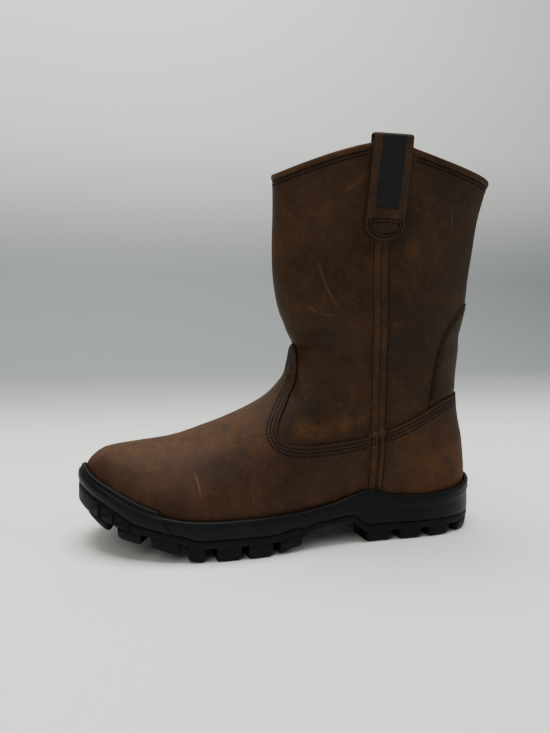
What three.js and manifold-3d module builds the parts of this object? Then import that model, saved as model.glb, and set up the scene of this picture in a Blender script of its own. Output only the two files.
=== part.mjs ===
import * as THREE from "three";
import { mergeVertices } from "three/addons/utils/BufferGeometryUtils.js";
import Module from "manifold-3d";

// A left pull-on work boot in oiled leather on a lugged rubber sole, standing empty on its sole.
// Sizes are millimetres. +Z is up, the toe points along -X and the outer side faces -Y.
// Places on the boot are told by "reach", the distance forward from the back of the upper's base.

// Driving sizes of the last and the shaft
const lastLength = 290;
const ballOuter = 49;
const ballInner = 45;
const heelHalf = 33;
const toeSwing = 4;
const throatRise = 104;
const collarRise = 232;
const collarScallop = 23;
const shaftHalf = 38;

// Leather, clearances and trims
const wall = 2.2;
const overlay = 1.4;
const clearance = 0.3;
const sideStripWidth = 14;
const loopWidth = 29;
const loopDrop = 66;
const loopInsideDrop = 46;
const loopThickness = 2;
const loopRise = 3.2;
const labelWidth = 16.5;
const labelDrop = 50;
const labelThickness = 0.8;

// Sole unit
const heelSeat = 25;
const ballSeat = 17;
const lastToeSpring = 20.5;
const sideMargin = 7;
const toeMargin = 6.2;
const heelMargin = 5.5;
const lipThickness = 2.2;
const rimThickness = 1.8;
const rimHeight = 1.5;
const bumperThickness = 1.8;
const heelLugDepth = 7.5;
const foreLugDepth = 9.5;
const archRaise = 16;
const plateThickness = 4;
const insoleThickness = 4;

// How finely the curved surfaces are divided
const aroundUpper = 36;
const rowsUpper = 22;

const outside = -1;
const inside = 1;

const leather = { color: 0x4a3324, roughness: 0.62 };
const darkLeather = { color: 0x3a271b, roughness: 0.6 };
const rubber = { color: 0x14171a, roughness: 0.7 };
const darkRubber = { color: 0x101214, roughness: 0.75 };

const mix = (a, b, share) => a + (b - a) * share;
const steps = (from, to, count) => Array.from({ length: count + 1 }, (_, i) => mix(from, to, i / count));
const clamp = (x, low, high) => Math.min(high, Math.max(low, x));
function ease(from, to, x) {
  const s = clamp((x - from) / (to - from), 0, 1);
  return s * s * (3 - 2 * s);
}

// Reads a column of a table at x on a curve that never overshoots its rows.
function readTable(table, key, column, x) {
  const last = table.length - 1;
  if (x <= table[0][key]) return table[0][column];
  if (x >= table[last][key]) return table[last][column];
  let i = 0;
  while (x > table[i + 1][key]) i++;
  const slope = (k) => (table[k + 1][column] - table[k][column]) / (table[k + 1][key] - table[k][key]);
  const tangent = (k) => {
    if (k === 0) return slope(0);
    if (k === last) return slope(last - 1);
    const before = slope(k - 1);
    const after = slope(k);
    return before * after <= 0 ? 0 : (2 * before * after) / (before + after);
  };
  const span = table[i + 1][key] - table[i][key];
  const s = (x - table[i][key]) / span;
  const bend = s * s * (3 - 2 * s);
  const leave = s * (1 - s) * (1 - s) * span * tangent(i);
  const arrive = s * s * (s - 1) * span * tangent(i + 1);
  return mix(table[i][column], table[i + 1][column], bend) + leave + arrive;
}

// Reads a column at a row number that needn't be whole, on a smooth curve through all rows.
function readRow(rows, column, at) {
  const i = clamp(Math.floor(at), 0, rows.length - 2);
  const s = at - i;
  const value = (k) => {
    if (k < 0) return 2 * rows[0][column] - rows[1][column];
    if (k >= rows.length) return 2 * rows[rows.length - 1][column] - rows[rows.length - 2][column];
    return rows[k][column];
  };
  const [a, b, c, d] = [value(i - 1), value(i), value(i + 1), value(i + 2)];
  return b + 0.5 * s * (c - a + s * (2 * a - 5 * b + 4 * c - d + s * (3 * (b - c) + d - a)));
}

// The base outline. A turn of 0 is the middle of the heel and 180 the middle of the toe.
// Widths are shares of the half width that counts there, which eases from the heel's to the ball's.
const outline = [
  { turn: 0, outer: 0, inner: 0 },
  { turn: 15, outer: 0.48, inner: 0.48 },
  { turn: 30, outer: 0.83, inner: 0.82 },
  { turn: 45, outer: 0.99, inner: 0.96 },
  { turn: 60, outer: 1.01, inner: 0.93 },
  { turn: 75, outer: 0.97, inner: 0.78 },
  { turn: 90, outer: 0.93, inner: 0.74 },
  { turn: 105, outer: 0.98, inner: 0.89 },
  { turn: 120, outer: 1.0, inner: 1.0 },
  { turn: 135, outer: 0.89, inner: 0.96 },
  { turn: 150, outer: 0.67, inner: 0.77 },
  { turn: 165, outer: 0.36, inner: 0.44 },
  { turn: 180, outer: 0, inner: 0 },
];
const outlineStep = outline[1].turn - outline[0].turn;

function halfWidthAt(share, side) {
  const turn = (Math.acos(clamp(1 - 2 * share, -1, 1)) * 180) / Math.PI;
  const ball = side === outside ? ballOuter : ballInner;
  const reference = mix(heelHalf, ball, ease(0.25, 0.65, share));
  return reference * readRow(outline, side === outside ? "outer" : "inner", turn / outlineStep);
}

const swingAt = (share) => toeSwing * ease(0.55, 1, share);

// The floor of the sole's cup, on which the upper and the insole stand.
const floorProfile = [
  { along: 0, heel: 1, spring: 0 },
  { along: 0.11, heel: 0.96, spring: 0 },
  { along: 0.23, heel: 0.95, spring: 0 },
  { along: 0.35, heel: 0.85, spring: 0 },
  { along: 0.46, heel: 0.45, spring: 0 },
  { along: 0.58, heel: 0.1, spring: 0 },
  { along: 0.7, heel: 0, spring: 0 },
  { along: 0.78, heel: 0, spring: 0.1 },
  { along: 0.86, heel: 0, spring: 0.36 },
  { along: 0.94, heel: 0, spring: 0.68 },
  { along: 1, heel: 0, spring: 1 },
];
function floorAt(share) {
  const heel = readTable(floorProfile, "along", "heel", share);
  const spring = readTable(floorProfile, "along", "spring", share);
  return ballSeat + (heelSeat - ballSeat) * heel + lastToeSpring * spring;
}

// Sections of the upper, from its base to the collar. Each runs from a point on the front line to
// one on the back line. front and back are shares of lastLength. In the foot the rises are shares
// of throatRise, and in the shaft of what collarRise adds to it. sag says how much a section bends
// with the floor, leg how far it is a shaft's oval, and width is a share of shaftHalf.
const footSections = [
  { front: 1.0, frontRise: 0, back: 0, backRise: 0, sag: 1, leg: 0, width: 0.9 },
  { front: 1.002, frontRise: 0.082, back: 0.001, backRise: 0.125, sag: 0.92, leg: 0, width: 0.9 },
  { front: 0.999, frontRise: 0.163, back: 0.003, backRise: 0.212, sag: 0.78, leg: 0, width: 0.9 },
  { front: 0.986, frontRise: 0.23, back: 0.007, backRise: 0.294, sag: 0.6, leg: 0, width: 0.9 },
  { front: 0.95, frontRise: 0.304, back: 0.011, backRise: 0.366, sag: 0.42, leg: 0, width: 0.9 },
  { front: 0.876, frontRise: 0.341, back: 0.015, backRise: 0.433, sag: 0.27, leg: 0, width: 0.9 },
  { front: 0.797, frontRise: 0.368, back: 0.021, backRise: 0.5, sag: 0.15, leg: 0.03, width: 0.9 },
  { front: 0.711, frontRise: 0.436, back: 0.028, backRise: 0.577, sag: 0.07, leg: 0.08, width: 0.9 },
  { front: 0.628, frontRise: 0.52, back: 0.033, backRise: 0.654, sag: 0.02, leg: 0.17, width: 0.9 },
  { front: 0.559, frontRise: 0.619, back: 0.037, backRise: 0.731, sag: 0, leg: 0.3, width: 0.89 },
  { front: 0.518, frontRise: 0.72, back: 0.038, backRise: 0.808, sag: 0, leg: 0.47, width: 0.89 },
  { front: 0.494, frontRise: 0.86, back: 0.038, backRise: 0.914, sag: 0, leg: 0.68, width: 0.9 },
  { front: 0.489, frontRise: 0.995, back: 0.035, backRise: 1.087, sag: 0, leg: 0.88, width: 0.91 },
];
const shaftSections = [
  { front: 0.511, frontRise: 0.1, back: 0.031, backRise: 0.195, width: 0.925, scallop: 0 },
  { front: 0.534, frontRise: 0.242, back: 0.018, backRise: 0.343, width: 0.94, scallop: 0 },
  { front: 0.545, frontRise: 0.379, back: 0.0135, backRise: 0.492, width: 0.955, scallop: 0.02 },
  { front: 0.5495, frontRise: 0.551, back: 0.005, backRise: 0.656, width: 0.97, scallop: 0.16 },
  { front: 0.5515, frontRise: 0.738, back: -0.006, backRise: 0.843, width: 0.985, scallop: 0.5 },
  { front: 0.555, frontRise: 0.953, back: -0.0315, backRise: 1.066, width: 1, scallop: 1 },
];
const shaftRise = collarRise - throatRise;
const floorBelow = (reach) => floorAt(clamp(reach / lastLength, 0, 1));
const sections = [
  ...footSections.map((row) => ({
    front: row.front * lastLength,
    frontTop: mix(floorAt(1), floorBelow(row.front * lastLength), row.sag) + row.frontRise * throatRise,
    back: row.back * lastLength,
    backTop: floorAt(0) + row.backRise * throatRise,
    sag: row.sag,
    leg: row.leg,
    half: row.width * shaftHalf,
    scallop: 0,
  })),
  ...shaftSections.map((row) => ({
    front: row.front * lastLength,
    frontTop: floorAt(1) + throatRise + row.frontRise * shaftRise,
    back: row.back * lastLength,
    backTop: floorAt(0) + throatRise + row.backRise * shaftRise,
    sag: 0,
    leg: 1,
    half: row.width * shaftHalf,
    scallop: row.scallop * collarScallop,
  })),
];
const collarRow = sections.length - 1;
const throatRow = footSections.length - 1;

// The ridge over toe and vamp, as heights against reach, carried on behind the throat so that the
// foot's arch has a top there too.
const hiddenRidgeSlope = 0.5;
const ridge = sections
  .slice(1, throatRow + 1)
  .reverse()
  .map((row) => ({ reach: row.front, top: row.frontTop }));
function ridgeAt(reach) {
  const throat = ridge[0];
  if (reach < throat.reach) return throat.top + (throat.reach - reach) * hiddenRidgeSlope;
  return readTable(ridge, "reach", "top", reach);
}

// Roundness of the foot's arch: low numbers give a roof, high ones a box.
const archShape = [
  { along: 0, side: 2.4, top: 2.6 },
  { along: 0.35, side: 2.2, top: 2.2 },
  { along: 0.6, side: 2.0, top: 1.95 },
  { along: 0.75, side: 2.1, top: 2.1 },
  { along: 0.9, side: 2.3, top: 2.5 },
  { along: 1, side: 2.3, top: 2.6 },
];
const sideBulge = 0.04;
const bulgeTop = 0.65;
const shaftRoundness = 2.15;
const heelCurveReach = 70;

function footHalfWidth(reach, height, heelShift, side) {
  const share = clamp((reach - heelShift) / lastLength, 0, 1);
  const floor = floorAt(share);
  const rise = clamp((height - floor) / (ridgeAt(reach) - floor), 0, 1);
  const sideShape = readTable(archShape, "along", "side", share);
  const topShape = readTable(archShape, "along", "top", share);
  const arch = Math.pow(1 - Math.pow(rise, topShape), 1 / sideShape);
  const bulge = 1 + sideBulge * Math.sin(Math.PI * clamp(rise / bulgeTop, 0, 1));
  return halfWidthAt(share, side) * arch * bulge;
}

// The collar rises to a peak over the side seam, told as a share of its length from the back.
const collarPeak = 0.55;
const peakFront = 1.5;
const peakBack = 0.85;
const innerPeak = 0.78;
function scallopAt(share) {
  if (share > collarPeak) return 1 - Math.pow((share - collarPeak) / (1 - collarPeak), peakFront);
  return 1 - Math.pow((collarPeak - share) / collarPeak, peakBack);
}
const rowValue = (column, row) => readRow(sections, column, row);
const baseLift = 0.12;

// A point of the upper's outer face. angle runs once round: 0 is the back line, half a turn is the
// front line, and the first half of the turn is the outer side. row is a section's number.
function upperPoint(angle, row) {
  const turn = ((angle % (2 * Math.PI)) + 2 * Math.PI) % (2 * Math.PI);
  const side = turn <= Math.PI ? outside : inside;
  const share = (1 - Math.cos(turn)) / 2;
  const front = rowValue("front", row);
  const back = rowValue("back", row);
  const reach = mix(back, front, share);
  const onRidge = row > 1 && row < throatRow;
  const frontTop = onRidge ? ridgeAt(front) : rowValue("frontTop", row);
  const backTop = rowValue("backTop", row);
  const sag = rowValue("sag", row);
  const bend = floorBelow(reach) - mix(floorBelow(back), floorBelow(front), share);
  const peak = side === outside ? 1 : innerPeak;
  const scallop = rowValue("scallop", row) * scallopAt(share) * peak;
  const height = mix(backTop, frontTop, share) + sag * bend + scallop;
  const heelShift = back * (1 - ease(0, heelCurveReach, reach - back));
  const leg = clamp(rowValue("leg", row), 0, 1);
  const foot = leg < 1 ? footHalfWidth(reach, height, heelShift, side) : 0;
  const oval = rowValue("half", row) * Math.pow(Math.abs(Math.sin(turn)), 2 / shaftRoundness);
  const middle = swingAt(clamp(reach / lastLength, 0, 1)) * (1 - leg);
  return new THREE.Vector3(-reach, middle + side * mix(foot, oval, leg), height);
}

// The same face moved outwards along its normal. The step is widened where the face is narrow.
const normalStep = 0.02;
const leastSpan = (2 * clearance) / 3;
function offsetPoint(angle, row, distance) {
  const point = upperPoint(angle, row);
  const around = new THREE.Vector3();
  for (let step = normalStep; around.length() < leastSpan; step *= 2) {
    around.copy(upperPoint(angle + step, row)).sub(upperPoint(angle - step, row));
  }
  const low = Math.max(0, row - normalStep);
  const up = upperPoint(angle, row + normalStep).sub(upperPoint(angle, low));
  const normal = up.cross(around).normalize();
  return point.addScaledVector(normal, distance);
}

// The angle at which a section has the given reach, on the outer or inner side.
function angleAtReach(reach, row, side) {
  const share = (reach - rowValue("back", row)) / (rowValue("front", row) - rowValue("back", row));
  const turn = Math.acos(clamp(1 - 2 * share, -1, 1));
  return side === outside ? turn : 2 * Math.PI - turn;
}

// The row at which the face reaches a height, at a fixed angle.
const bisections = 24;
function rowAtHeight(angle, height) {
  let low = 0;
  let high = collarRow;
  for (let i = 0; i < bisections; i++) {
    const middle = (low + high) / 2;
    if (upperPoint(angle, middle).z < height) low = middle;
    else high = middle;
  }
  return (low + high) / 2;
}

const mergeDistance = 1e-4;

// Closed solids from grids. A grid is a list of columns, each a list of points.
function meshFrom(triangles) {
  const geometry = new THREE.BufferGeometry();
  const flat = triangles.flat().flatMap((p) => [p.x, p.y, p.z]);
  geometry.setAttribute("position", new THREE.Float32BufferAttribute(flat, 3));
  return mergeVertices(geometry, mergeDistance);
}

// Two triangles, or one where a corner repeats.
const sameCorner = 1e-6;
function quad(triangles, a, b, c, d) {
  const real = (p, q, r) => Math.min(p.distanceTo(q), q.distanceTo(r), r.distanceTo(p)) > sameCorner;
  if (real(a, b, c)) triangles.push([a, b, c]);
  if (real(a, c, d)) triangles.push([a, c, d]);
}

// Two skins joined along their rims. Columns run round the boot, points run upwards.
function shellSolid(outer, inner, closed) {
  const triangles = [];
  const columns = outer.length;
  const points = outer[0].length;
  const spans = closed ? columns : columns - 1;
  for (let i = 0; i < spans; i++) {
    const next = (i + 1) % columns;
    for (let j = 0; j + 1 < points; j++) {
      quad(triangles, outer[i][j + 1], outer[next][j + 1], outer[next][j], outer[i][j]);
      quad(triangles, inner[next][j], inner[next][j + 1], inner[i][j + 1], inner[i][j]);
    }
    quad(triangles, outer[i][0], outer[next][0], inner[next][0], inner[i][0]);
    const top = points - 1;
    quad(triangles, inner[i][top], inner[next][top], outer[next][top], outer[i][top]);
  }
  if (!closed) {
    const end = columns - 1;
    for (let j = 0; j + 1 < points; j++) {
      quad(triangles, inner[0][j], inner[0][j + 1], outer[0][j + 1], outer[0][j]);
      quad(triangles, outer[end][j + 1], inner[end][j + 1], inner[end][j], outer[end][j]);
    }
  }
  return meshFrom(triangles);
}

// A solid round the boot. Every column is a profile that starts on the upper cap and ends on the
// lower cap, and both caps are laddered across from the outer side to the inner side.
function ringSolid(columns) {
  const triangles = [];
  const count = columns.length;
  const points = columns[0].length;
  for (let i = 0; i < count; i++) {
    const next = (i + 1) % count;
    for (let j = 0; j + 1 < points; j++) {
      quad(triangles, columns[i][j], columns[next][j], columns[next][j + 1], columns[i][j + 1]);
    }
  }
  const half = count / 2;
  for (let i = 0; i < half; i++) {
    const a = columns[i];
    const b = columns[i + 1];
    const c = columns[(count - i - 1) % count];
    const d = columns[(count - i) % count];
    const bottom = points - 1;
    if (i === 0) triangles.push([c[0], b[0], a[0]], [a[bottom], b[bottom], c[bottom]]);
    else if (i === half - 1) triangles.push([d[0], b[0], a[0]], [a[bottom], b[bottom], d[bottom]]);
    else {
      quad(triangles, d[0], c[0], b[0], a[0]);
      quad(triangles, b[bottom], c[bottom], d[bottom], a[bottom]);
    }
  }
  return meshFrom(triangles);
}

// A bar with a closed cross-section carried along, with flat ends.
function barSolid(columns) {
  const triangles = [];
  const points = columns[0].length;
  for (let i = 0; i + 1 < columns.length; i++) {
    for (let j = 0; j < points; j++) {
      const k = (j + 1) % points;
      quad(triangles, columns[i][j], columns[i][k], columns[i + 1][k], columns[i + 1][j]);
    }
  }
  const first = columns[0];
  const last = columns[columns.length - 1];
  for (let j = 1; j + 1 < points; j++) {
    triangles.push([first[0], first[j + 1], first[j]], [last[0], last[j], last[j + 1]]);
  }
  return meshFrom(triangles);
}

// Joins and cuts of closed solids
const wasm = await Module();
wasm.setup();

function toSolid(geometry) {
  const merged = mergeVertices(geometry, mergeDistance);
  return new wasm.Manifold(
    new wasm.Mesh({
      numProp: 3,
      vertProperties: merged.getAttribute("position").array,
      triVerts: new Uint32Array(merged.index.array),
    }),
  );
}

function toGeometry(solid) {
  const mesh = solid.getMesh();
  const geometry = new THREE.BufferGeometry();
  const points = new Float32Array(mesh.numVert * 3);
  for (let i = 0; i < mesh.numVert; i++) {
    points.set(mesh.vertProperties.subarray(i * mesh.numProp, i * mesh.numProp + 3), i * 3);
  }
  geometry.setAttribute("position", new THREE.BufferAttribute(points, 3));
  geometry.setIndex(new THREE.BufferAttribute(mesh.triVerts, 1));
  return geometry;
}

// An upright slab through the whole boot with a side view drawn as [reach, height] corners.
const slabHalf = 1.5 * ballOuter;
function slab(corners) {
  const shape = new THREE.Shape(corners.map(([reach, height]) => new THREE.Vector2(-reach, height)));
  const geometry = new THREE.ExtrudeGeometry(shape, { depth: 2 * slabHalf, bevelEnabled: false });
  geometry.deleteAttribute("normal");
  geometry.deleteAttribute("uv");
  geometry.rotateX(Math.PI / 2);
  geometry.translate(0, slabHalf, 0);
  return toSolid(geometry);
}

// Stations round the upper. Station 0 is the back line, 0.25 the outer side seam, 0.5 the front
// line and 0.75 the inner side seam, so every piece on the upper shares the same columns.
const outerSeam = 0.25;
const innerSeam = 0.75;
const sideSeam = [
  { row: 0, along: 0.306 },
  { row: 6, along: 0.298 },
  { row: 10, along: 0.296 },
  { row: 13, along: 0.304 },
  { row: 16, along: 0.315 },
  { row: 18, along: 0.3 },
];
const strapReach = (row) => lastLength * readTable(sideSeam, "row", "along", row);
function stationAngle(station, row) {
  const whole = ((station % 1) + 1) % 1;
  const seam = angleAtReach(strapReach(row), row, outside);
  const half = whole <= 0.5 ? whole : 1 - whole;
  const turn = half <= outerSeam
    ? (seam * half) / outerSeam
    : mix(seam, Math.PI, (half - outerSeam) / (0.5 - outerSeam));
  return whole <= 0.5 ? turn : 2 * Math.PI - turn;
}
function angleStation(angle, row) {
  const turn = Math.acos(clamp(Math.cos(angle), -1, 1));
  const seam = angleAtReach(strapReach(row), row, outside);
  const half = turn <= seam
    ? (outerSeam * turn) / seam
    : mix(outerSeam, 0.5, (turn - seam) / (Math.PI - seam));
  return Math.sin(angle) >= 0 ? half : 1 - half;
}
const skinPoint = (station, row, distance) => offsetPoint(stationAngle(station, row), row, distance);
const allRows = steps(baseLift, collarRow, rowsUpper);
const allStations = steps(0, 1, aroundUpper).slice(0, -1);

// Upper wall: one hollow tube, open at the collar and underneath.
function makeUpper() {
  const outer = allStations.map((u) => allRows.map((r) => skinPoint(u, r, 0)));
  const inner = allStations.map((u) => allRows.map((r) => skinPoint(u, r, -wall)));
  return shellSolid(outer, inner, true);
}

// The upper edges of the vamp and of the counter, in side view. They meet at the vamp's lowest
// point. along is a share of lastLength and rise a share of throatRise above the ball seat.
const vampEdge = [
  { along: 0.62, rise: 1.17 },
  { along: 0.49, rise: 1.14 },
  { along: 0.487, rise: 1.08 },
  { along: 0.4935, rise: 0.98 },
  { along: 0.5175, rise: 0.836 },
  { along: 0.546, rise: 0.7 },
  { along: 0.558, rise: 0.62 },
  { along: 0.549, rise: 0.562 },
  { along: 0.52, rise: 0.541 },
];
const counterEdge = [
  { along: 0.48, rise: 0.538 },
  { along: 0.404, rise: 0.552 },
  { along: 0.3255, rise: 0.58 },
  { along: 0.2386, rise: 0.65 },
  { along: 0.14, rise: 0.774 },
  { along: 0.064, rise: 0.845 },
  { along: -0.1, rise: 0.88 },
];
const stayEdge = [
  { along: -0.1, rise: 1.515 },
  { along: 0.03, rise: 1.504 },
  { along: 0.064, rise: 1.457 },
  { along: 0.09, rise: 1.4 },
  { along: 0.12, rise: 1.28 },
  { along: 0.136, rise: 1.114 },
  { along: 0.15, rise: 0.938 },
  { along: 0.155, rise: 0.7 },
];
const edgePoints = 20;
const sideHeight = (rise) => ballSeat + rise * throatRise;
function sideCurve(table, up) {
  const points = table.map((row) => new THREE.Vector2(row.along * lastLength, sideHeight(row.rise) + up));
  return new THREE.SplineCurve(points).getPoints(edgePoints).map((p) => [p.x, p.y]);
}
const farOut = 2 * lastLength;
function aboveSeam(up) {
  const edge = sideCurve([...vampEdge, ...counterEdge], up);
  const [front, back] = [edge[0][0], edge[edge.length - 1][0]];
  return slab([...edge, [back, farOut], [front, farOut]]);
}

// Leather laid over the upper: a shell on the upper's own grid, trimmed by slabs.
const overlayOuter = clearance + overlay;
const overlayFoot = 0.3;
function overlayRing(firstRow, lastRow) {
  const rows = [firstRow, ...allRows.filter((r) => r > firstRow && r < lastRow), lastRow];
  const skin = (distance) => allStations.map((u) => rows.map((r) => skinPoint(u, r, distance)));
  return toSolid(shellSolid(skin(overlayOuter), skin(clearance), true));
}
const vampTopRow = 13;
const buttGap = 0.5;
function lowerPanels() {
  const seam = steps(0, vampTopRow, 10).map((row) => {
    const point = upperPoint(stationAngle(outerSeam, row), row);
    return [-point.x, point.z];
  });
  const ends = [[seam[0][0], 0], ...seam];
  const shifted = (by) => ends.map(([reach, height]) => [reach + by, height]);
  const slot = slab([...shifted(-buttGap / 2), ...shifted(buttGap / 2).reverse()]);
  const panels = overlayRing(overlayFoot, vampTopRow).subtract(aboveSeam(0)).subtract(slot).decompose();
  return panels.sort((a, b) => a.boundingBox().min[0] - b.boundingBox().min[0]);
}
const [vampSolid, counterSolid] = lowerPanels();

// Back stay: a round-topped leather patch up the back of the shaft, above the counter.
const stayRows = { first: 8, last: 15 };
const stayGap = 0.5;
function makeBackStay() {
  const edge = sideCurve(stayEdge, 0);
  const patch = slab([...edge, [edge[0][0], 0]]);
  const ring = overlayRing(stayRows.first, stayRows.last);
  return toGeometry(ring.intersect(patch).intersect(aboveSeam(stayGap)));
}

// Side strip: it covers the seam from the sole to the collar and steps over the vamp's edge.
const stripStep = 4;
const stripFootGap = 0.5;
const stripGap = 0.5;
const stripHead = 0.1;
const stripLowRow = 2;
const stripEdgeRow = 6;
const rowMargin = 0.4;
const counterBack = [...counterEdge].reverse();
const seamHeight = (reach) => sideHeight(readTable(counterBack, "along", "rise", reach / lastLength));
function makeSideStrip(side) {
  const lowAngle = stationAngle(side === outside ? outerSeam : innerSeam, stripLowRow);
  const footHeight = lipHeight(lowAngle) + stripFootGap;
  const first = rowAtHeight(lowAngle, footHeight) + rowMargin;
  const head = collarRow - stripHead;
  const between = allRows.filter((r) => r > first && r < head - stripHead);
  const skin = (extra) =>
    steps(-0.5, 0.5, 3).map((share) => {
      const reachAt = (row) => strapReach(row) - side * share * sideStripWidth;
      const edgeReach = reachAt(stripEdgeRow);
      const rowAt = (height) => rowAtHeight(angleAtReach(edgeReach, stripEdgeRow, side), height);
      const edge = seamHeight(edgeReach) + stripGap;
      const rows = [rowAt(footHeight), rowAt(edge), rowAt(edge + stripStep), ...between, head];
      return rows.sort((a, b) => a - b).map((row) => {
        const angle = angleAtReach(reachAt(row), row, side);
        const height = upperPoint(angle, row).z;
        const lift = overlayOuter * (1 - ease(edge, edge + stripStep, height));
        return offsetPoint(angle, row, stripGap + lift + extra);
      });
    });
  return shellSolid(skin(overlay), skin(0), false);
}

// Pull loop: a strap stitched outside and inside, standing as an arch over the collar.
const archRound = 0.7;
const archSwell = 0.3;
const loopFootRow = 16;
const footRound = 1.9;
function loopPath(side, share, extra) {
  const [head, foot] = [strapReach(collarRow), strapReach(loopFootRow)];
  const centreReach = (drop) => mix(head, foot, clamp(drop / loopDrop, 0, 1));
  const rowBelow = (drop) => rowAtHeight(sideAngle(side), collarTop(side) - drop);
  const roundEnd = (loopWidth / 2) * (1 - Math.sqrt(1 - Math.pow(share * footRound, 2)));
  const outerLift = stripGap + overlay + clearance + loopThickness / 2;
  const innerLift = -(wall + clearance + loopThickness / 2);
  const place = (drop, lift) => {
    const row = rowBelow(drop);
    const angle = angleAtReach(centreReach(drop) - side * share * loopWidth, row, side);
    return offsetPoint(angle, row, lift);
  };
  const path = steps(loopDrop - roundEnd, 0, 7).map((drop) => place(drop, outerLift));
  const crownOut = path.pop();
  const crownIn = place(0, innerLift);
  crownOut.z = collarTop(side);
  crownIn.z = crownOut.z;
  path.push(crownOut);
  const centre = crownOut.clone().add(crownIn).multiplyScalar(0.5);
  const spread = crownOut.clone().sub(centre);
  for (const turn of steps(0, Math.PI, 6).slice(1, -1)) {
    const [c, s] = [Math.cos(turn), Math.sin(turn)];
    const reach = Math.sign(c) * Math.pow(Math.abs(c), archRound) * (1 + archSwell * s);
    const arch = centre.clone().addScaledVector(spread, reach);
    arch.z += loopRise * Math.pow(s, archRound);
    path.push(arch);
  }
  path.push(crownIn);
  for (const drop of steps(0, loopInsideDrop, 4).slice(1)) path.push(place(drop, innerLift));
  return thickened(path, side, extra);
}

// Moves each point of a strap's path sideways, square to the path in its own upright plane.
function thickened(path, side, distance) {
  return path.map((point, i) => {
    const along = path[Math.min(i + 1, path.length - 1)].clone().sub(path[Math.max(i - 1, 0)]);
    along.x = 0;
    const square = new THREE.Vector3(0, -along.z, along.y).normalize();
    return point.clone().addScaledVector(square, -side * distance);
  });
}

const sideAngle = (side) => stationAngle(side === outside ? outerSeam : innerSeam, collarRow);
const collarTop = (side) => upperPoint(sideAngle(side), collarRow).z;
const loopColumns = [-0.5, -0.42, -0.25, 0, 0.25, 0.42, 0.5];

function makePullLoop(side) {
  const skin = (extra) => loopColumns.map((share) => loopPath(side, share, extra));
  const sides = [skin(loopThickness / 2), skin(-loopThickness / 2)];
  return shellSolid(sides[0], sides[1], false);
}

// Label: a bare woven patch on the outer pull loop.
const labelBelow = 0.5;
function makeLabel() {
  const lift = stripGap + overlay + loopThickness + 2 * clearance;
  const top = collarTop(outside) - labelBelow;
  const across = steps(-0.5, 0.5, 3);
  const skin = (extra) =>
    across.map((share) =>
      steps(labelDrop, 0, 6).map((drop) => {
        const row = rowAtHeight(stationAngle(outerSeam, collarRow), top - drop);
        const reach = strapReach(row) + share * labelWidth;
        return offsetPoint(angleAtReach(reach, row, outside), row, lift + extra);
      }),
    );
  return shellSolid(skin(labelThickness), skin(0), false);
}

// Sole heights against reach, as shares of the named sizes
const lipTable = [
  { along: 0, rise: 14 },
  { along: 0.03, rise: 12 },
  { along: 0.08, rise: 9.8 },
  { along: 0.17, rise: 8.2 },
  { along: 0.25, rise: 9.6 },
  { along: 0.32, rise: 15 },
  { along: 0.36, rise: 13.5 },
  { along: 0.42, rise: 10.5 },
  { along: 0.5, rise: 9.5 },
  { along: 0.6, rise: 10.6 },
  { along: 0.7, rise: 10.8 },
  { along: 0.78, rise: 9.6 },
  { along: 0.845, rise: 8.8 },
  { along: 1, rise: 17 },
];
const bumperTable = [
  { along: 0.82, rise: 11 },
  { along: 0.868, rise: 12 },
  { along: 0.902, rise: 13.5 },
  { along: 0.948, rise: 16.2 },
  { along: 0.986, rise: 17.8 },
  { along: 1, rise: 20 },
];
const shareOf = (angle) => (1 - Math.cos(angle)) / 2;
function lipHeight(angle) {
  const share = shareOf(angle);
  return floorAt(share) + readTable(lipTable, "along", "rise", share);
}
function bumperHeight(angle) {
  const share = shareOf(angle);
  return floorAt(share) + readTable(bumperTable, "along", "rise", share);
}

// Plan points of the sole: the base outline pushed out square to itself.
function planPoint(angle) {
  const share = shareOf(angle);
  const side = ((angle % (2 * Math.PI)) + 2 * Math.PI) % (2 * Math.PI) <= Math.PI ? outside : inside;
  return new THREE.Vector2(-share * lastLength, swingAt(share) + side * halfWidthAt(share, side));
}
function marginAt(angle) {
  const share = shareOf(angle);
  const heel = heelMargin * (1 - ease(0, 0.12, share));
  const toe = toeMargin * ease(0.8, 1, share);
  const between = ease(0, 0.12, share) * (1 - ease(0.8, 1, share));
  return heel + toe + sideMargin * between;
}
function solePoint(angle, out, height) {
  const ahead = planPoint(angle + normalStep);
  const behind = planPoint(angle - normalStep);
  const normal = ahead.sub(behind);
  normal.set(-normal.y, normal.x).normalize();
  const base = planPoint(angle);
  return new THREE.Vector3(base.x + normal.x * out, base.y + normal.y * out, height);
}

// Underside heights. along is the share of the base outline's length.
const groundTable = [
  { along: 0, lift: 0.07 },
  { along: 0.03, lift: 0 },
  { along: 0.3, lift: 0 },
  { along: 0.51, lift: 0.12 },
  { along: 0.585, lift: 0 },
  { along: 0.757, lift: 0 },
  { along: 0.815, lift: 0.2 },
  { along: 0.88, lift: 0.36 },
  { along: 0.93, lift: 0.48 },
  { along: 0.965, lift: 0.67 },
  { along: 1, lift: 1 },
];
const soleToeSpring = 31;
// Lug depth fades out where the tread turns up at the toe.
const lugFade = [
  { along: 0.78, depth: 1 },
  { along: 0.84, depth: 0.8 },
  { along: 0.94, depth: 0.75 },
  { along: 0.965, depth: 0.6 },
  { along: 0.985, depth: 0.25 },
  { along: 1, depth: 0.08 },
];
const groundAt = (share) => soleToeSpring * readTable(groundTable, "along", "lift", share);

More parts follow.
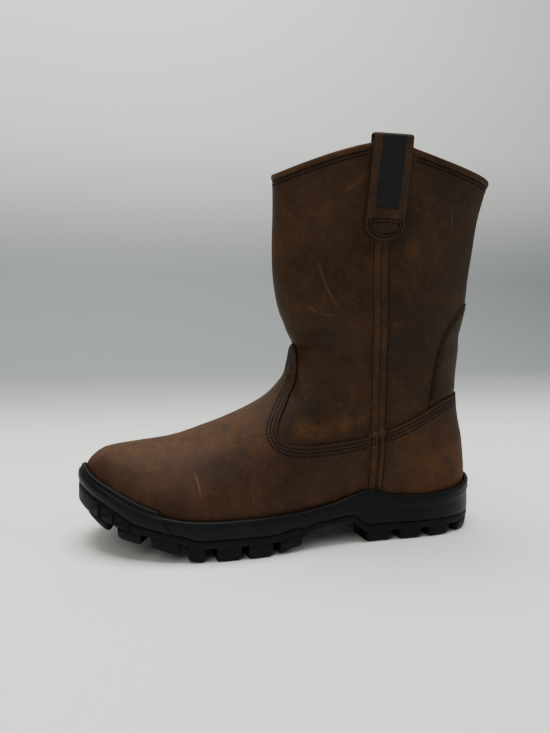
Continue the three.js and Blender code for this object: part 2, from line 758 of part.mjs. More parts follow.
const breastFoot = 0.33;
const breastTop = 0.365;
const foreStart = 0.51;
const archTable = [
  { along: breastTop, raise: 1 },
  { along: 0.42, raise: 1 },
  { along: 0.48, raise: 0.84 },
  { along: foreStart, raise: 0.58 },
];
function plateBottomAt(share) {
  if (share <= breastFoot) return groundAt(share) + heelLugDepth;
  if (share < breastTop) return mix(heelLugDepth, archRaise, (share - breastFoot) / (breastTop - breastFoot));
  if (share < foreStart) return archRaise * readTable(archTable, "along", "raise", share);
  return groundAt(share) + foreLugDepth * readTable(lugFade, "along", "depth", share);
}
// The plate's top stays a little under the cup's floor at the toe.
const toeFill = 3;
const trayAt = (share) => Math.min(plateBottomAt(share) + plateThickness, floorAt(share) - toeFill);

// The rim rises round the toe as a rubber wrap.
const wrapTable = [
  { along: 0.9, rise: 0 },
  { along: 0.928, rise: 4 },
  { along: 0.962, rise: 6.3 },
  { along: 1, rise: 9 },
];
const rimAt = (share) => trayAt(share) + rimHeight + readTable(wrapTable, "along", "rise", share);

const bumperStart = 0.845;
const bumperGap = 0.0025;
const bumperFoot = bumperStart + 3 * bumperGap;
const angleOf = (share) => Math.acos(clamp(1 - 2 * share, -1, 1));

// Stations round the sole: the upper's own, with extra ones where the underside or side steps.
const baseRow = 1;
const nearStation = 0.02;
const soleSteps = [breastFoot, breastTop, 0.42, 0.48, foreStart, 0.9, 0.928];
const bumperSteps = [bumperStart - bumperGap, bumperStart + bumperGap, bumperFoot];
function soleAngles() {
  const stepAngles = [...soleSteps, ...bumperSteps].map(angleOf);
  const plain = allStations
    .filter((u) => u <= 0.5)
    .map((u) => stationAngle(u, baseRow))
    .filter((a) => stepAngles.every((b) => Math.abs(a - b) > nearStation));
  const half = [...plain, ...stepAngles].sort((a, b) => a - b);
  const other = half.slice(1, -1).reverse().map((a) => 2 * Math.PI - a);
  return [...half, ...other];
}

const cupGap = overlayOuter + 3 * clearance;

// A point at a height that stands a gap off the upper's face, moved level and square to its plan.
function cupPoint(angle, height, gap) {
  const row = rowAtHeight(angle, height);
  const face = upperPoint(angle, row);
  const away = offsetPoint(angle, row, 1).sub(face);
  const scale = gap / (away.x * away.x + away.y * away.y);
  return new THREE.Vector3(face.x + away.x * scale, face.y + away.y * scale, height);
}
const hasBumper = (angle) => shareOf(angle) > bumperStart;

// The side wall of the sole leans in at its shoulder, told as a share of its height.
const shoulderStep = 0.6;
const shelfShoulder = 0.75;
const lipShoulder = 0.86;
function makeMidsole() {
  const columns = soleAngles().map((angle) => {
    const share = shareOf(angle);
    const margin = marginAt(angle);
    const floor = floorAt(share);
    const shelf = hasBumper(angle);
    const lip = shelf ? bumperHeight(angle) - bumperOverlap : lipHeight(angle);
    const out = shelf ? margin - bumperThickness - bumperSeat : margin;
    const rim = rimAt(share) + clearance;
    const ledge = margin - rimThickness - clearance;
    return [
      cupPoint(angle, floor, cupGap),
      cupPoint(angle, mix(floor, lip, 0.5), cupGap),
      cupPoint(angle, lip, cupGap),
      cupPoint(angle, lip, cupGap + (shelf ? shelfLip : lipThickness)),
      solePoint(angle, out - shoulderStep, mix(rim, lip, shelf ? shelfShoulder : lipShoulder)),
      solePoint(angle, out, mix(rim, lip, 0.5)),
      solePoint(angle, out, rim),
      solePoint(angle, ledge, rim),
      solePoint(angle, ledge, trayAt(share) + clearance),
    ];
  });
  return ringSolid(columns);
}

function makeInsole() {
  const edge = -(wall + 3 * clearance);
  const columns = soleAngles().map((angle) => {
    const floor = floorAt(shareOf(angle)) + clearance;
    return [solePoint(angle, edge, floor + insoleThickness), solePoint(angle, edge, floor)];
  });
  return ringSolid(columns);
}

// Toe bumper: a raised rubber guard wrapped round the toe, over the midsole's edge.
const bumperSeat = 0.7;
const bumperOverlap = 5;
const bumperLip = 1.5;
const bumperSwell = 0.4;
const bumperLean = 2.2;
const shelfLip = 0.6;
function makeToeBumper() {
  const columns = soleAngles()
    .filter((angle) => shareOf(angle) >= bumperFoot - sameCorner)
    .map((angle) => {
      const margin = marginAt(angle);
      const top = bumperHeight(angle);
      const low = top - bumperOverlap + clearance;
      const rim = rimAt(shareOf(angle)) + clearance;
      const shelf = top - bumperOverlap;
      const inner = margin - bumperThickness;
      return [
        solePoint(angle, inner, rim),
        solePoint(angle, margin, rim),
        solePoint(angle, margin + bumperSwell, mix(rim, top, 0.45)),
        solePoint(angle, margin - bumperLean, mix(rim, top, 0.8)),
        cupPoint(angle, top, cupGap + bumperLip),
        cupPoint(angle, top, cupGap + clearance),
        cupPoint(angle, low, cupGap + clearance),
        cupPoint(angle, low, cupGap + shelfLip + 2 * clearance),
        solePoint(angle, inner - shoulderStep + clearance, mix(rim, shelf, shelfShoulder) + clearance),
        solePoint(angle, inner, mix(rim, shelf, 0.5)),
      ];
    });
  return barSolid(columns);
}

// Lugs. Edge lugs follow the outline between two shares of the length.
const lugRoot = 1.5;
const lugTaper = 1.2;
const lugInset = 0.1;
const rootAt = (share) => plateBottomAt(share) + lugRoot;
function edgeLug(from, to, side, depth) {
  const start = angleOf(from);
  const end = angleOf(to);
  const angles = side === outside ? [start, end] : [2 * Math.PI - end, 2 * Math.PI - start];
  const columns = steps(angles[0], angles[1], 2).map((angle) => {
    const margin = marginAt(angle);
    const lugPoint = (out, heightAt) => {
      const point = solePoint(angle, out, 0);
      point.z = heightAt(clamp(-point.x / lastLength, 0, shareOf(angle)));
      return point;
    };
    return [
      lugPoint(margin - lugTaper, groundAt),
      lugPoint(margin - lugInset, rootAt),
      lugPoint(margin - depth, rootAt),
      lugPoint(margin - depth + lugTaper, groundAt),
    ];
  });
  return toSolid(barSolid(columns));
}

// A block in the middle of the tread, drawn as a flat outline of [share, y] corners.
function blockLug(corners) {
  const ring = (height) => corners.map(([share, y]) => new THREE.Vector3(-share * lastLength, y, height(share)));
  const low = ring(groundAt);
  return toSolid(barSolid([low, ring(rootAt)]));
}

// How far each lug reaches in from the edge, and half of each middle block's width, are shares.
const lugReach = 24;
const blockHalf = 18;
const foreLugs = [
  { from: 0.51, to: 0.568, inward: 0.92 },
  { from: 0.588, to: 0.645, inward: 1 },
  { from: 0.663, to: 0.72, inward: 0.92 },
  { from: 0.747, to: 0.785, inward: 1 },
  { from: 0.803, to: 0.862, inward: 0.92 },
  { from: 0.884, to: 0.93, inward: 0.83 },
  { from: 0.95, to: 0.985, inward: 0.33 },
];
const heelLugs = [
  { from: 0.257, to: 0.326, inward: 1 },
  { from: 0.174, to: 0.233, inward: 0.92 },
  { from: 0.092, to: 0.151, inward: 0.92 },
  { from: 0.02, to: 0.063, inward: 0.75 },
];
const centreBlocks = [
  { at: 0.57, half: 0.72, depth: 0.04, point: 0.018 },
  { at: 0.645, half: 0.89, depth: 0.042, point: 0.018 },
  { at: 0.72, half: 1, depth: 0.042, point: 0.018 },
  { at: 0.795, half: 1, depth: 0.042, point: 0.018 },
  { at: 0.865, half: 0.78, depth: 0.036, point: 0.016 },
];

const rimLean = 0.4;
const footRounding = 1;
function makeOutsole() {
  const columns = soleAngles().map((angle) => {
    const margin = marginAt(angle);
    const share = shareOf(angle);
    return [
      solePoint(angle, margin - rimThickness, trayAt(share)),
      solePoint(angle, margin - rimThickness, rimAt(share)),
      solePoint(angle, margin - rimLean, rimAt(share)),
      solePoint(angle, margin, rootAt(share)),
      solePoint(angle, margin - footRounding, plateBottomAt(share)),
    ];
  });
  let sole = toSolid(ringSolid(columns));
  for (const side of [outside, inside]) {
    for (const lug of [...foreLugs, ...heelLugs]) {
      sole = sole.add(edgeLug(lug.from, lug.to, side, lug.inward * lugReach));
    }
  }
  for (const block of centreBlocks) {
    const swing = swingAt(block.at);
    const half = block.half * blockHalf;
    const [front, back] = [block.at + block.depth / 2, block.at - block.depth / 2];
    sole = sole.add(
      blockLug([
        [back, swing - half],
        [back + block.point, swing],
        [back, swing + half],
        [front, swing + half],
        [front + block.point, swing],
        [front, swing - half],
      ]),
    );
  }
  return toGeometry(sole);
}

const boot = new THREE.Group();
function addPiece(name, geometry, finish) {
  const piece = new THREE.Mesh(geometry, new THREE.MeshStandardMaterial({ metalness: 0, ...finish }));
  piece.name = name;
  boot.add(piece);
}
addPiece("upper", makeUpper(), leather);
addPiece("vamp", toGeometry(vampSolid), leather);
addPiece("heel_counter", toGeometry(counterSolid), leather);
addPiece("back_stay", makeBackStay(), darkLeather);
addPiece("side_strip_outer", makeSideStrip(outside), darkLeather);
addPiece("side_strip_inner", makeSideStrip(inside), darkLeather);
addPiece("pull_loop_outer", makePullLoop(outside), darkLeather);
addPiece("pull_loop_inner", makePullLoop(inside), darkLeather);
addPiece("loop_label", makeLabel(), { color: 0x0c0c0e, roughness: 0.85 });
addPiece("insole", makeInsole(), { color: 0x2b2826, roughness: 0.9 });
addPiece("midsole", makeMidsole(), rubber);
addPiece("toe_bumper", makeToeBumper(), rubber);
addPiece("outsole", makeOutsole(), darkRubber);

// The origin is on the floor, under the middle of the whole boot.
const box = new THREE.Box3().setFromObject(boot);
const centre = box.getCenter(new THREE.Vector3());
boot.position.set(-centre.x, -centre.y, -box.min.z);

export default boot;
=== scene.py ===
"""The looks of a left pull-on work boot in oiled leather on a lugged rubber sole.

Sizes in this script are millimetres in the boot's own frame, as in the part's source: the toe
points along -X, the outer side faces -Y, and reach is the distance forward from the back of the
upper's base. solid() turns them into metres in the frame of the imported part.
"""

import math

import bmesh
import bpy
import numpy as np
from mathutils import Matrix, Vector


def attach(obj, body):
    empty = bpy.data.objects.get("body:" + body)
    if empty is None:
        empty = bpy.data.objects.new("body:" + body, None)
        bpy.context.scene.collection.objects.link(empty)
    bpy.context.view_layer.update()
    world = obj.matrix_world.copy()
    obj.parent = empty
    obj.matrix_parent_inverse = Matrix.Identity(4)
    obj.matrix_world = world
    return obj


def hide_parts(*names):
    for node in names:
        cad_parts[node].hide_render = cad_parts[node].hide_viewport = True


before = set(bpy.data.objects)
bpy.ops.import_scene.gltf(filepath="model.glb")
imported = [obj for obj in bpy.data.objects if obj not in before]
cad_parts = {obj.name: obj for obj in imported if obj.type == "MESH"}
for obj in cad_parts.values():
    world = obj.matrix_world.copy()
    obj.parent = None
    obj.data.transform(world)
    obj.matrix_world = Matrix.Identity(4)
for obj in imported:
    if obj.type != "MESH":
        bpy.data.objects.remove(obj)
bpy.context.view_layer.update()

METRE = 0.001
PLACE = np.array([143.7325, 0.3637, 0.0])
OUTER, INNER = -1, 1

# Camera, in metres
CAMERA_AT = (-0.17847, -0.54414, 0.2)
CAMERA_FORWARD = Vector((0.2899, 0.9481, -0.1305)).normalized()
CAMERA_ROLL = math.radians(1.6)
FOCAL_PIXELS = 780
PICTURE_HEIGHT = 733
SENSOR = 36.0
NEAREST_SEEN = 0.05


def add_camera():
    """Puts the camera where the photograph was taken from."""
    right = CAMERA_FORWARD.cross(Vector((0, 0, 1))).normalized()
    up = right.cross(CAMERA_FORWARD)
    c, s = math.cos(CAMERA_ROLL), math.sin(CAMERA_ROLL)
    turned = (right * c + up * s, up * c - right * s, -CAMERA_FORWARD)
    data = bpy.data.cameras.new("camera")
    data.sensor_width = SENSOR
    data.lens = SENSOR * FOCAL_PIXELS / PICTURE_HEIGHT
    data.clip_start = NEAREST_SEEN
    camera = bpy.data.objects.new("camera", data)
    camera.matrix_world = Matrix.Translation(CAMERA_AT) @ Matrix(turned).transposed().to_4x4()
    bpy.context.collection.objects.link(camera)
    bpy.context.scene.camera = camera


add_camera()

# The last and the shaft: the same surface as the solids
LAST = 290.0
BALL_OUTER, BALL_INNER, HEEL_HALF = 49.0, 45.0, 33.0
TOE_SWING, SWING_START = 4.0, 0.55
HEEL_END, BALL_BEGIN = 0.25, 0.65
THROAT_RISE, COLLAR_RISE, COLLAR_SCALLOP = 104.0, 232.0, 23.0
SHAFT_HALF = 38.0
HEEL_SEAT, BALL_SEAT, TOE_SPRING = 25.0, 17.0, 20.5
WALL, OVERLAY, CLEARANCE = 2.2, 1.4, 0.3
COLLAR_ROW, THROAT_ROW = 18, 12


def gentle(xs, ys):
    """A curve through the points of a table that never overshoots them."""
    xs, ys = np.array(xs, float), np.array(ys, float)
    slope = np.diff(ys) / np.diff(xs)
    product, total = slope[:-1] * slope[1:], slope[:-1] + slope[1:]
    middle = np.where(product <= 0, 0, 2 * product / np.where(total == 0, 1, total))
    tangent = np.concatenate(([slope[0]], middle, [slope[-1]]))

    def read(x):
        x = np.clip(x, xs[0], xs[-1])
        i = np.clip(np.searchsorted(xs, x, "right") - 1, 0, len(xs) - 2)
        span = xs[i + 1] - xs[i]
        s = (x - xs[i]) / span
        bend = s * s * (3 - 2 * s)
        leave = s * (1 - s) ** 2 * span * tangent[i]
        arrive = s * s * (s - 1) * span * tangent[i + 1]
        return ys[i] + (ys[i + 1] - ys[i]) * bend + leave + arrive

    return read


def flowing(values):
    """A smooth curve through all the rows of a list, read at a row that needn't be whole."""
    v = np.array(values, float)
    v = np.concatenate(([2 * v[0] - v[1]], v, [2 * v[-1] - v[-2]]))

    def read(at):
        at = np.asarray(at, float)
        i = np.clip(np.floor(at).astype(int), 0, len(v) - 4)
        s = at - i
        a, b, c, d = v[i], v[i + 1], v[i + 2], v[i + 3]
        return b + 0.5 * s * (c - a + s * (2 * a - 5 * b + 4 * c - d + s * (3 * (b - c) + d - a)))

    return read


def mix(a, b, share):
    """a where share is 0 and b where it is 1."""
    return a + (b - a) * share


def ease(start, end, x):
    """0 at start and 1 at end, with a smooth step between; start may be above end."""
    s = np.clip((np.asarray(x, float) - start) / (end - start), 0, 1)
    return s * s * (3 - 2 * s)


def dense(start, end, count):
    """Evenly spaced values from start to end."""
    return np.linspace(start, end, count)


def halving(low, high, too_low, times):
    """The value between low and high where too_low turns false, found by halving the gap."""
    for _ in range(times):
        middle = (low + high) / 2
        lower = too_low(middle)
        low, high = np.where(lower, middle, low), np.where(lower, high, middle)
    return (low + high) / 2


def lengths_along(points):
    """How far along a line each of its points lies."""
    return np.concatenate(([0], np.cumsum(np.linalg.norm(np.diff(points, axis=0), axis=1))))


outline_outer = flowing([0, 0.48, 0.83, 0.99, 1.01, 0.97, 0.93, 0.98, 1.0, 0.89, 0.67, 0.36, 0])
outline_inner = flowing([0, 0.48, 0.82, 0.96, 0.93, 0.78, 0.74, 0.89, 1.0, 0.96, 0.77, 0.44, 0])
OUTLINE_STEP = 15


def half_width(share, side):
    """Half the last's width at a share of its length, from tables in steps of 15 degrees round it."""
    turn = np.degrees(np.arccos(np.clip(1 - 2 * share, -1, 1))) / OUTLINE_STEP
    ball = np.where(side == OUTER, BALL_OUTER, BALL_INNER)
    width = np.where(side == OUTER, outline_outer(turn), outline_inner(turn))
    return mix(HEEL_HALF, ball, ease(HEEL_END, BALL_BEGIN, share)) * width


def swing(share):
    """How far the last's middle line curves in at a share of its length."""
    return TOE_SWING * ease(SWING_START, 1, share)


FLOOR_ALONG = [0, 0.11, 0.23, 0.35, 0.46, 0.58, 0.7, 0.78, 0.86, 0.94, 1]
floor_heel = gentle(FLOOR_ALONG, [1, 0.96, 0.95, 0.85, 0.45, 0.1, 0, 0, 0, 0, 0])
floor_spring = gentle(FLOOR_ALONG, [0, 0, 0, 0, 0, 0, 0, 0.1, 0.36, 0.68, 1])


def floor_at(share):
    """The height of the upper's base at a share of its length."""
    share = np.clip(share, 0, 1)
    return BALL_SEAT + (HEEL_SEAT - BALL_SEAT) * floor_heel(share) + TOE_SPRING * floor_spring(share)


# front, front rise, back, back rise, sag, leg, width
FOOT = [
    (1.0, 0, 0, 0, 1, 0, 0.9),
    (1.002, 0.082, 0.001, 0.125, 0.92, 0, 0.9),
    (0.999, 0.163, 0.003, 0.212, 0.78, 0, 0.9),
    (0.986, 0.23, 0.007, 0.294, 0.6, 0, 0.9),
    (0.95, 0.304, 0.011, 0.366, 0.42, 0, 0.9),
    (0.876, 0.341, 0.015, 0.433, 0.27, 0, 0.9),
    (0.797, 0.368, 0.021, 0.5, 0.15, 0.03, 0.9),
    (0.711, 0.436, 0.028, 0.577, 0.07, 0.08, 0.9),
    (0.628, 0.52, 0.033, 0.654, 0.02, 0.17, 0.9),
    (0.559, 0.619, 0.037, 0.731, 0, 0.3, 0.89),
    (0.518, 0.72, 0.038, 0.808, 0, 0.47, 0.89),
    (0.494, 0.86, 0.038, 0.914, 0, 0.68, 0.9),
    (0.489, 0.995, 0.035, 1.087, 0, 0.88, 0.91),
]
# front, front rise, back, back rise, width, scallop
SHAFT = [
    (0.511, 0.1, 0.031, 0.195, 0.925, 0),
    (0.534, 0.242, 0.018, 0.343, 0.94, 0),
    (0.545, 0.379, 0.0135, 0.492, 0.955, 0.02),
    (0.5495, 0.551, 0.005, 0.656, 0.97, 0.16),
    (0.5515, 0.738, -0.006, 0.843, 0.985, 0.5),
    (0.555, 0.953, -0.0315, 1.066, 1, 1),
]
SHAFT_RISE = COLLAR_RISE - THROAT_RISE
toe_floor, heel_floor = float(floor_at(1)), float(floor_at(0))
fronts = [r[0] * LAST for r in FOOT + SHAFT]
front_tops = [mix(toe_floor, float(floor_at(r[0])), r[4]) + r[1] * THROAT_RISE for r in FOOT]
front_tops += [toe_floor + THROAT_RISE + r[1] * SHAFT_RISE for r in SHAFT]
back_tops = [heel_floor + r[3] * THROAT_RISE for r in FOOT]
back_tops += [heel_floor + THROAT_RISE + r[3] * SHAFT_RISE for r in SHAFT]
front_at = flowing(fronts)
front_top_at = flowing(front_tops)
back_at = flowing([r[2] * LAST for r in FOOT + SHAFT])
back_top_at = flowing(back_tops)
sag_at = flowing([r[4] for r in FOOT] + [0] * len(SHAFT))
leg_at = flowing([r[5] for r in FOOT] + [1] * len(SHAFT))
half_at = flowing([r[6] * SHAFT_HALF for r in FOOT] + [r[4] * SHAFT_HALF for r in SHAFT])
scallop_row = flowing([0] * len(FOOT) + [r[5] * COLLAR_SCALLOP for r in SHAFT])
ridge_reach = fronts[THROAT_ROW:0:-1]
ridge_top = front_tops[THROAT_ROW:0:-1]
ridge_curve = gentle(ridge_reach, ridge_top)
HIDDEN_RIDGE_SLOPE = 0.5


def ridge_at(reach):
    """The height of the foot's top line at a reach, which goes on rising inside the shaft."""
    behind = ridge_top[0] + (ridge_reach[0] - reach) * HIDDEN_RIDGE_SLOPE
    return np.where(reach < ridge_reach[0], behind, ridge_curve(reach))


# The same ridge with its sharp turn at the throat blurred, for the sides well below it
RIDGE_BLUR, BLUR_STEP, BLUR_TAPS = 7.0, 0.5, 40
blur_reach = np.arange(60.0, 260.0, BLUR_STEP)
blur_bell = np.exp(-((np.arange(-BLUR_TAPS, BLUR_TAPS + 1) * BLUR_STEP / RIDGE_BLUR) ** 2) / 2)
blurred = np.convolve(ridge_at(blur_reach), blur_bell / blur_bell.sum(), "same")


def calm_ridge_at(reach):
    """The blurred ridge's height at a reach."""
    return np.interp(reach, blur_reach, blurred)


ARCH_ALONG = [0, 0.35, 0.6, 0.75, 0.9, 1]
arch_side = gentle(ARCH_ALONG, [2.4, 2.2, 2.0, 2.1, 2.3, 2.3])
arch_top = gentle(ARCH_ALONG, [2.6, 2.2, 1.95, 2.1, 2.5, 2.6])
SIDE_BULGE, BULGE_TOP = 0.04, 0.65
SHAFT_ROUNDNESS = 2.15
HEEL_CURVE_REACH = 70.0
# Reaches between which the blurred ridge comes in and goes, and shares of the ridge's height
CALM_COMES, CALM_GOES = (105, 125), (165, 190)
CALM_BELOW = (0.96, 0.7)


def foot_half_width(reach, height, heel_shift, side):
    """Half the foot's width at a reach and a height, from the last's outline up to its ridge."""
    share = np.clip((reach - heel_shift) / LAST, 0, 1)
    floor = floor_at(share)
    rise = np.clip((height - floor) / (ridge_at(reach) - floor), 0, 1)
    calm = np.clip((height - floor) / (calm_ridge_at(reach) - floor), 0, 1)
    near_throat = ease(*CALM_COMES, reach) * (1 - ease(*CALM_GOES, reach))
    rise = mix(rise, calm, ease(*CALM_BELOW, rise) * near_throat)
    arch = (1 - rise ** arch_top(share)) ** (1 / arch_side(share))
    bulge = 1 + SIDE_BULGE * np.sin(np.pi * np.clip(rise / BULGE_TOP, 0, 1))
    return half_width(share, side) * arch * bulge


COLLAR_PEAK, PEAK_FRONT, PEAK_BACK, INNER_PEAK = 0.55, 1.5, 0.85, 0.78


def scallop_at(share):
    """How much of the collar's rise over the side seam is left at a share of its length."""
    ahead = np.clip((share - COLLAR_PEAK) / (1 - COLLAR_PEAK), 0, 1)
    behind = np.clip((COLLAR_PEAK - share) / COLLAR_PEAK, 0, 1)
    return 1 - np.where(share > COLLAR_PEAK, ahead**PEAK_FRONT, behind**PEAK_BACK)


def upper_point(turn, row):
    """A point of the upper's outer face. A turn of 0 is the back line and half a turn the front."""
    turn, row = np.broadcast_arrays(np.mod(turn, 2 * np.pi), np.asarray(row, float))
    side = np.where(turn <= np.pi, OUTER, INNER)
    share = (1 - np.cos(turn)) / 2
    front, back = front_at(row), back_at(row)
    reach = mix(back, front, share)
    on_ridge = (row > 1) & (row < THROAT_ROW)
    front_top = np.where(on_ridge, ridge_at(front), front_top_at(row))
    bend = floor_at(reach / LAST) - mix(floor_at(back / LAST), floor_at(front / LAST), share)
    peak = np.where(side == OUTER, 1, INNER_PEAK)
    height = mix(back_top_at(row), front_top, share) + sag_at(row) * bend
    height = height + scallop_row(row) * scallop_at(share) * peak
    heel_shift = back * (1 - ease(0, HEEL_CURVE_REACH, reach - back))
    leg = np.clip(leg_at(row), 0, 1)
    foot = foot_half_width(reach, height, heel_shift, side)
    oval = half_at(row) * np.abs(np.sin(turn)) ** (2 / SHAFT_ROUNDNESS)
    middle = swing(np.clip(reach / LAST, 0, 1)) * (1 - leg)
    return np.stack([-reach, middle + side * mix(foot, oval, leg), height], -1)


def unit(v):
    """Vectors at a length of 1."""
    return v / np.maximum(np.linalg.norm(v, axis=-1, keepdims=True), 1e-9)


# Small steps in turn and row, across which the surface's direction is read
NORMAL_STEP = 0.02
LEAST_SPAN = 0.2


def upper_normal(turn, row):
    """The outward direction of the upper's face, read off small steps, wider ones at a tip."""
    turn, row = np.broadcast_arrays(np.asarray(turn, float), np.asarray(row, float))
    around = upper_point(turn + NORMAL_STEP, row) - upper_point(turn - NORMAL_STEP, row)
    step = NORMAL_STEP
    while (narrow := np.linalg.norm(around, axis=-1) < LEAST_SPAN).any() and step < 1:
        step *= 2
        wide = upper_point(turn + step, row) - upper_point(turn - step, row)
        around = np.where(narrow[..., None], wide, around)
    up = upper_point(turn, row + NORMAL_STEP) - upper_point(turn, np.maximum(0, row - NORMAL_STEP))
    return unit(np.cross(up, around))


def offset_point(turn, row, distance):
    """A point at a distance off the upper's face."""
    return upper_point(turn, row) + upper_normal(turn, row) * np.asarray(distance)[..., None]


def turn_of(share):
    """The turn, on the outer side, at a share of the length."""
    return np.arccos(np.clip(1 - 2 * np.asarray(share, float), -1, 1))


def on_side(turn, outer):
    """The turn itself on the outer side and its mirror image on the inner one."""
    return np.where(outer, turn, 2 * np.pi - turn)


def turn_at_reach(reach, row, side):
    """The turn at which a row has a reach, on one side."""
    share = (reach - back_at(row)) / (front_at(row) - back_at(row))
    return on_side(turn_of(share), side == OUTER)


HEIGHT_HALVINGS = 20


def row_at_height(turn, height):
    """The row at which the upper has a height, on a turn."""
    turn, height = np.broadcast_arrays(np.asarray(turn, float), np.asarray(height, float))
    low, high = np.zeros(turn.shape), np.full(turn.shape, float(COLLAR_ROW))
    return halving(low, high, lambda row: upper_point(turn, row)[..., 2] < height, HEIGHT_HALVINGS)


seam_along = gentle([0, 6, 10, 13, 16, 18], [0.306, 0.298, 0.296, 0.304, 0.315, 0.3])
SEAM = 0.25


def strap_reach(row):
    """The reach of the side seam's line at a row."""
    return LAST * seam_along(row)


def station_turn(station, row):
    """Stations run round the boot: 0 back line, 0.25 outer seam, 0.5 front line, 0.75 inner."""
    whole = np.mod(station, 1)
    seam = turn_at_reach(strap_reach(row), row, OUTER)
    half = np.where(whole <= 0.5, whole, 1 - whole)
    ahead = mix(seam, np.pi, (half - SEAM) / (0.5 - SEAM))
    return on_side(np.where(half <= SEAM, seam * half / SEAM, ahead), whole <= 0.5)


def skin(station, row, lift=0.0):
    """A point of the upper by station and row, lifted off its face."""
    turn = station_turn(station, row)
    return offset_point(turn, row, np.broadcast_to(lift, turn.shape))


def face_and_normal(station, row):
    """Points of the upper's outer face and the outward directions there."""
    turn = station_turn(station, row)
    return upper_point(turn, row), upper_normal(turn, row)


# Meshes
WELD = 1e-6


def shell(columns, ring=False):
    """The corners and faces of a closed skin through closed profiles, shape (columns, points, 3).

    ring joins the last column to the first. Otherwise both ends are closed across the profile,
    whose first half is one side and whose second half is the other, running back.
    """
    count, points = columns.shape[:2]
    spans = count if ring else count - 1
    i, j = np.meshgrid(np.arange(spans), np.arange(points), indexing="ij")
    i2, j2 = (i + 1) % count, (j + 1) % points
    quads = np.stack([i * points + j, i2 * points + j, i2 * points + j2, i * points + j2], -1)
    quads = quads.reshape(-1, 4)
    place_in_profile = j.reshape(-1)
    if not ring:
        k = np.arange(points // 2 - 1)
        other = points - 1 - k
        start = np.stack([k, k + 1, other - 1, other], -1)
        end = (count - 1) * points + start[:, ::-1]
        quads = np.concatenate([quads, start, end])
        place_in_profile = np.concatenate([place_in_profile, k, k])
    corners = columns.reshape(-1, 3)
    a, b, c, d = (corners[quads[:, k]] for k in range(4))
    if (a * np.cross(b, c) + a * np.cross(c, d)).sum() < 0:
        quads = quads[:, ::-1]
    return corners, quads, place_in_profile


def sheet(outer, inner):
    """The profiles of a sheet between two faces: up the outer one and back along the inner one."""
    return np.concatenate([outer, inner[:, ::-1]], 1)


def solid(name, shells, finishes, finish_at=None, attributes=None, weld=False):
    """One piece made of closed skins, with smooth shading, that stands for the solid of its name.

    finish_at picks a finish by place in the profile. attributes are numbers that the corners carry.
    """
    sizes = [len(corners) for corners, _, _ in shells]
    starts = np.cumsum([0] + sizes[:-1])
    place = (np.concatenate([corners for corners, _, _ in shells]) + PLACE) * METRE
    quads = np.concatenate([faces + first for (_, faces, _), first in zip(shells, starts)])
    mesh = bpy.data.meshes.new(name)
    mesh.vertices.add(len(place))
    mesh.vertices.foreach_set("co", place.astype(np.float32).ravel())
    mesh.loops.add(quads.size)
    mesh.loops.foreach_set("vertex_index", quads.astype(np.int32).ravel())
    mesh.polygons.add(len(quads))
    mesh.polygons.foreach_set("loop_start", np.arange(0, quads.size, 4, dtype=np.int32))
    if finish_at is not None:
        where = np.concatenate([where for _, _, where in shells])
        mesh.polygons.foreach_set("material_index", finish_at(where).astype(np.int32))
    for key, values in (attributes or {}).items():
        layer = mesh.attributes.new(key, "FLOAT", "POINT")
        layer.data.foreach_set("value", np.broadcast_to(values, (len(place),)).astype(np.float32))
    mesh.update(calc_edges=True)
    if weld:
        joined = bmesh.new()
        joined.from_mesh(mesh)
        bmesh.ops.remove_doubles(joined, verts=joined.verts, dist=WELD)
        joined.to_mesh(mesh)
        joined.free()
    mesh.validate()
    mesh.polygons.foreach_set("use_smooth", np.ones(len(mesh.polygons), bool))
    for finish in finishes:
        mesh.materials.append(finish)
    settle(bpy.data.objects.new(name, mesh), (name,))


def settle(piece, replaces=()):
    """Links a finished piece, and says what it rides on and stands for."""
    bpy.context.scene.collection.objects.link(piece)
    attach(piece, "root")
    if replaces:
        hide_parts(*replaces)


# Materials
def add_node(tree, kind, settings=None, sockets=None):
    """A new node with its settings, whose sockets are linked or set to a value."""
    made = tree.nodes.new(kind)
    for key, value in (settings or {}).items():
        setattr(made, key, value)
    for key, value in (sockets or {}).items():
        if isinstance(value, bpy.types.NodeSocket):
            tree.links.new(value, made.inputs[key])
        else:
            made.inputs[key].default_value = value
    return made


class Value:
    """A shader socket that can be used in an expression."""

    def __init__(self, finish, socket):
        self.finish, self.socket = finish, socket

    def _math(self, operation, *terms):
        sockets = dict(enumerate(terms))
        return self.finish.node("ShaderNodeMath", {"operation": operation}, sockets)

    def __add__(self, other):
        return self._math("ADD", self, other)

    def __sub__(self, other):
        return self._math("SUBTRACT", self, other)

    def __rsub__(self, other):
        return self._math("SUBTRACT", other, self)

    def __mul__(self, other):
        return self._math("MULTIPLY", self, other)

    __radd__ = __add__

    def at_least(self, other):
        return self._math("MAXIMUM", self, other)

    def size(self):
        return self._math("ABSOLUTE", self)

    def within(self, low, high):
        """0 below low and 1 above high, with a smooth step between; low may be above high."""
        if low > high:
            return 1 - self.within(high, low)
        settings = {"interpolation_type": "SMOOTHSTEP"}
        sockets = {"Value": self, "From Min": low, "From Max": high}
        return self.finish.node("ShaderNodeMapRange", settings, sockets)


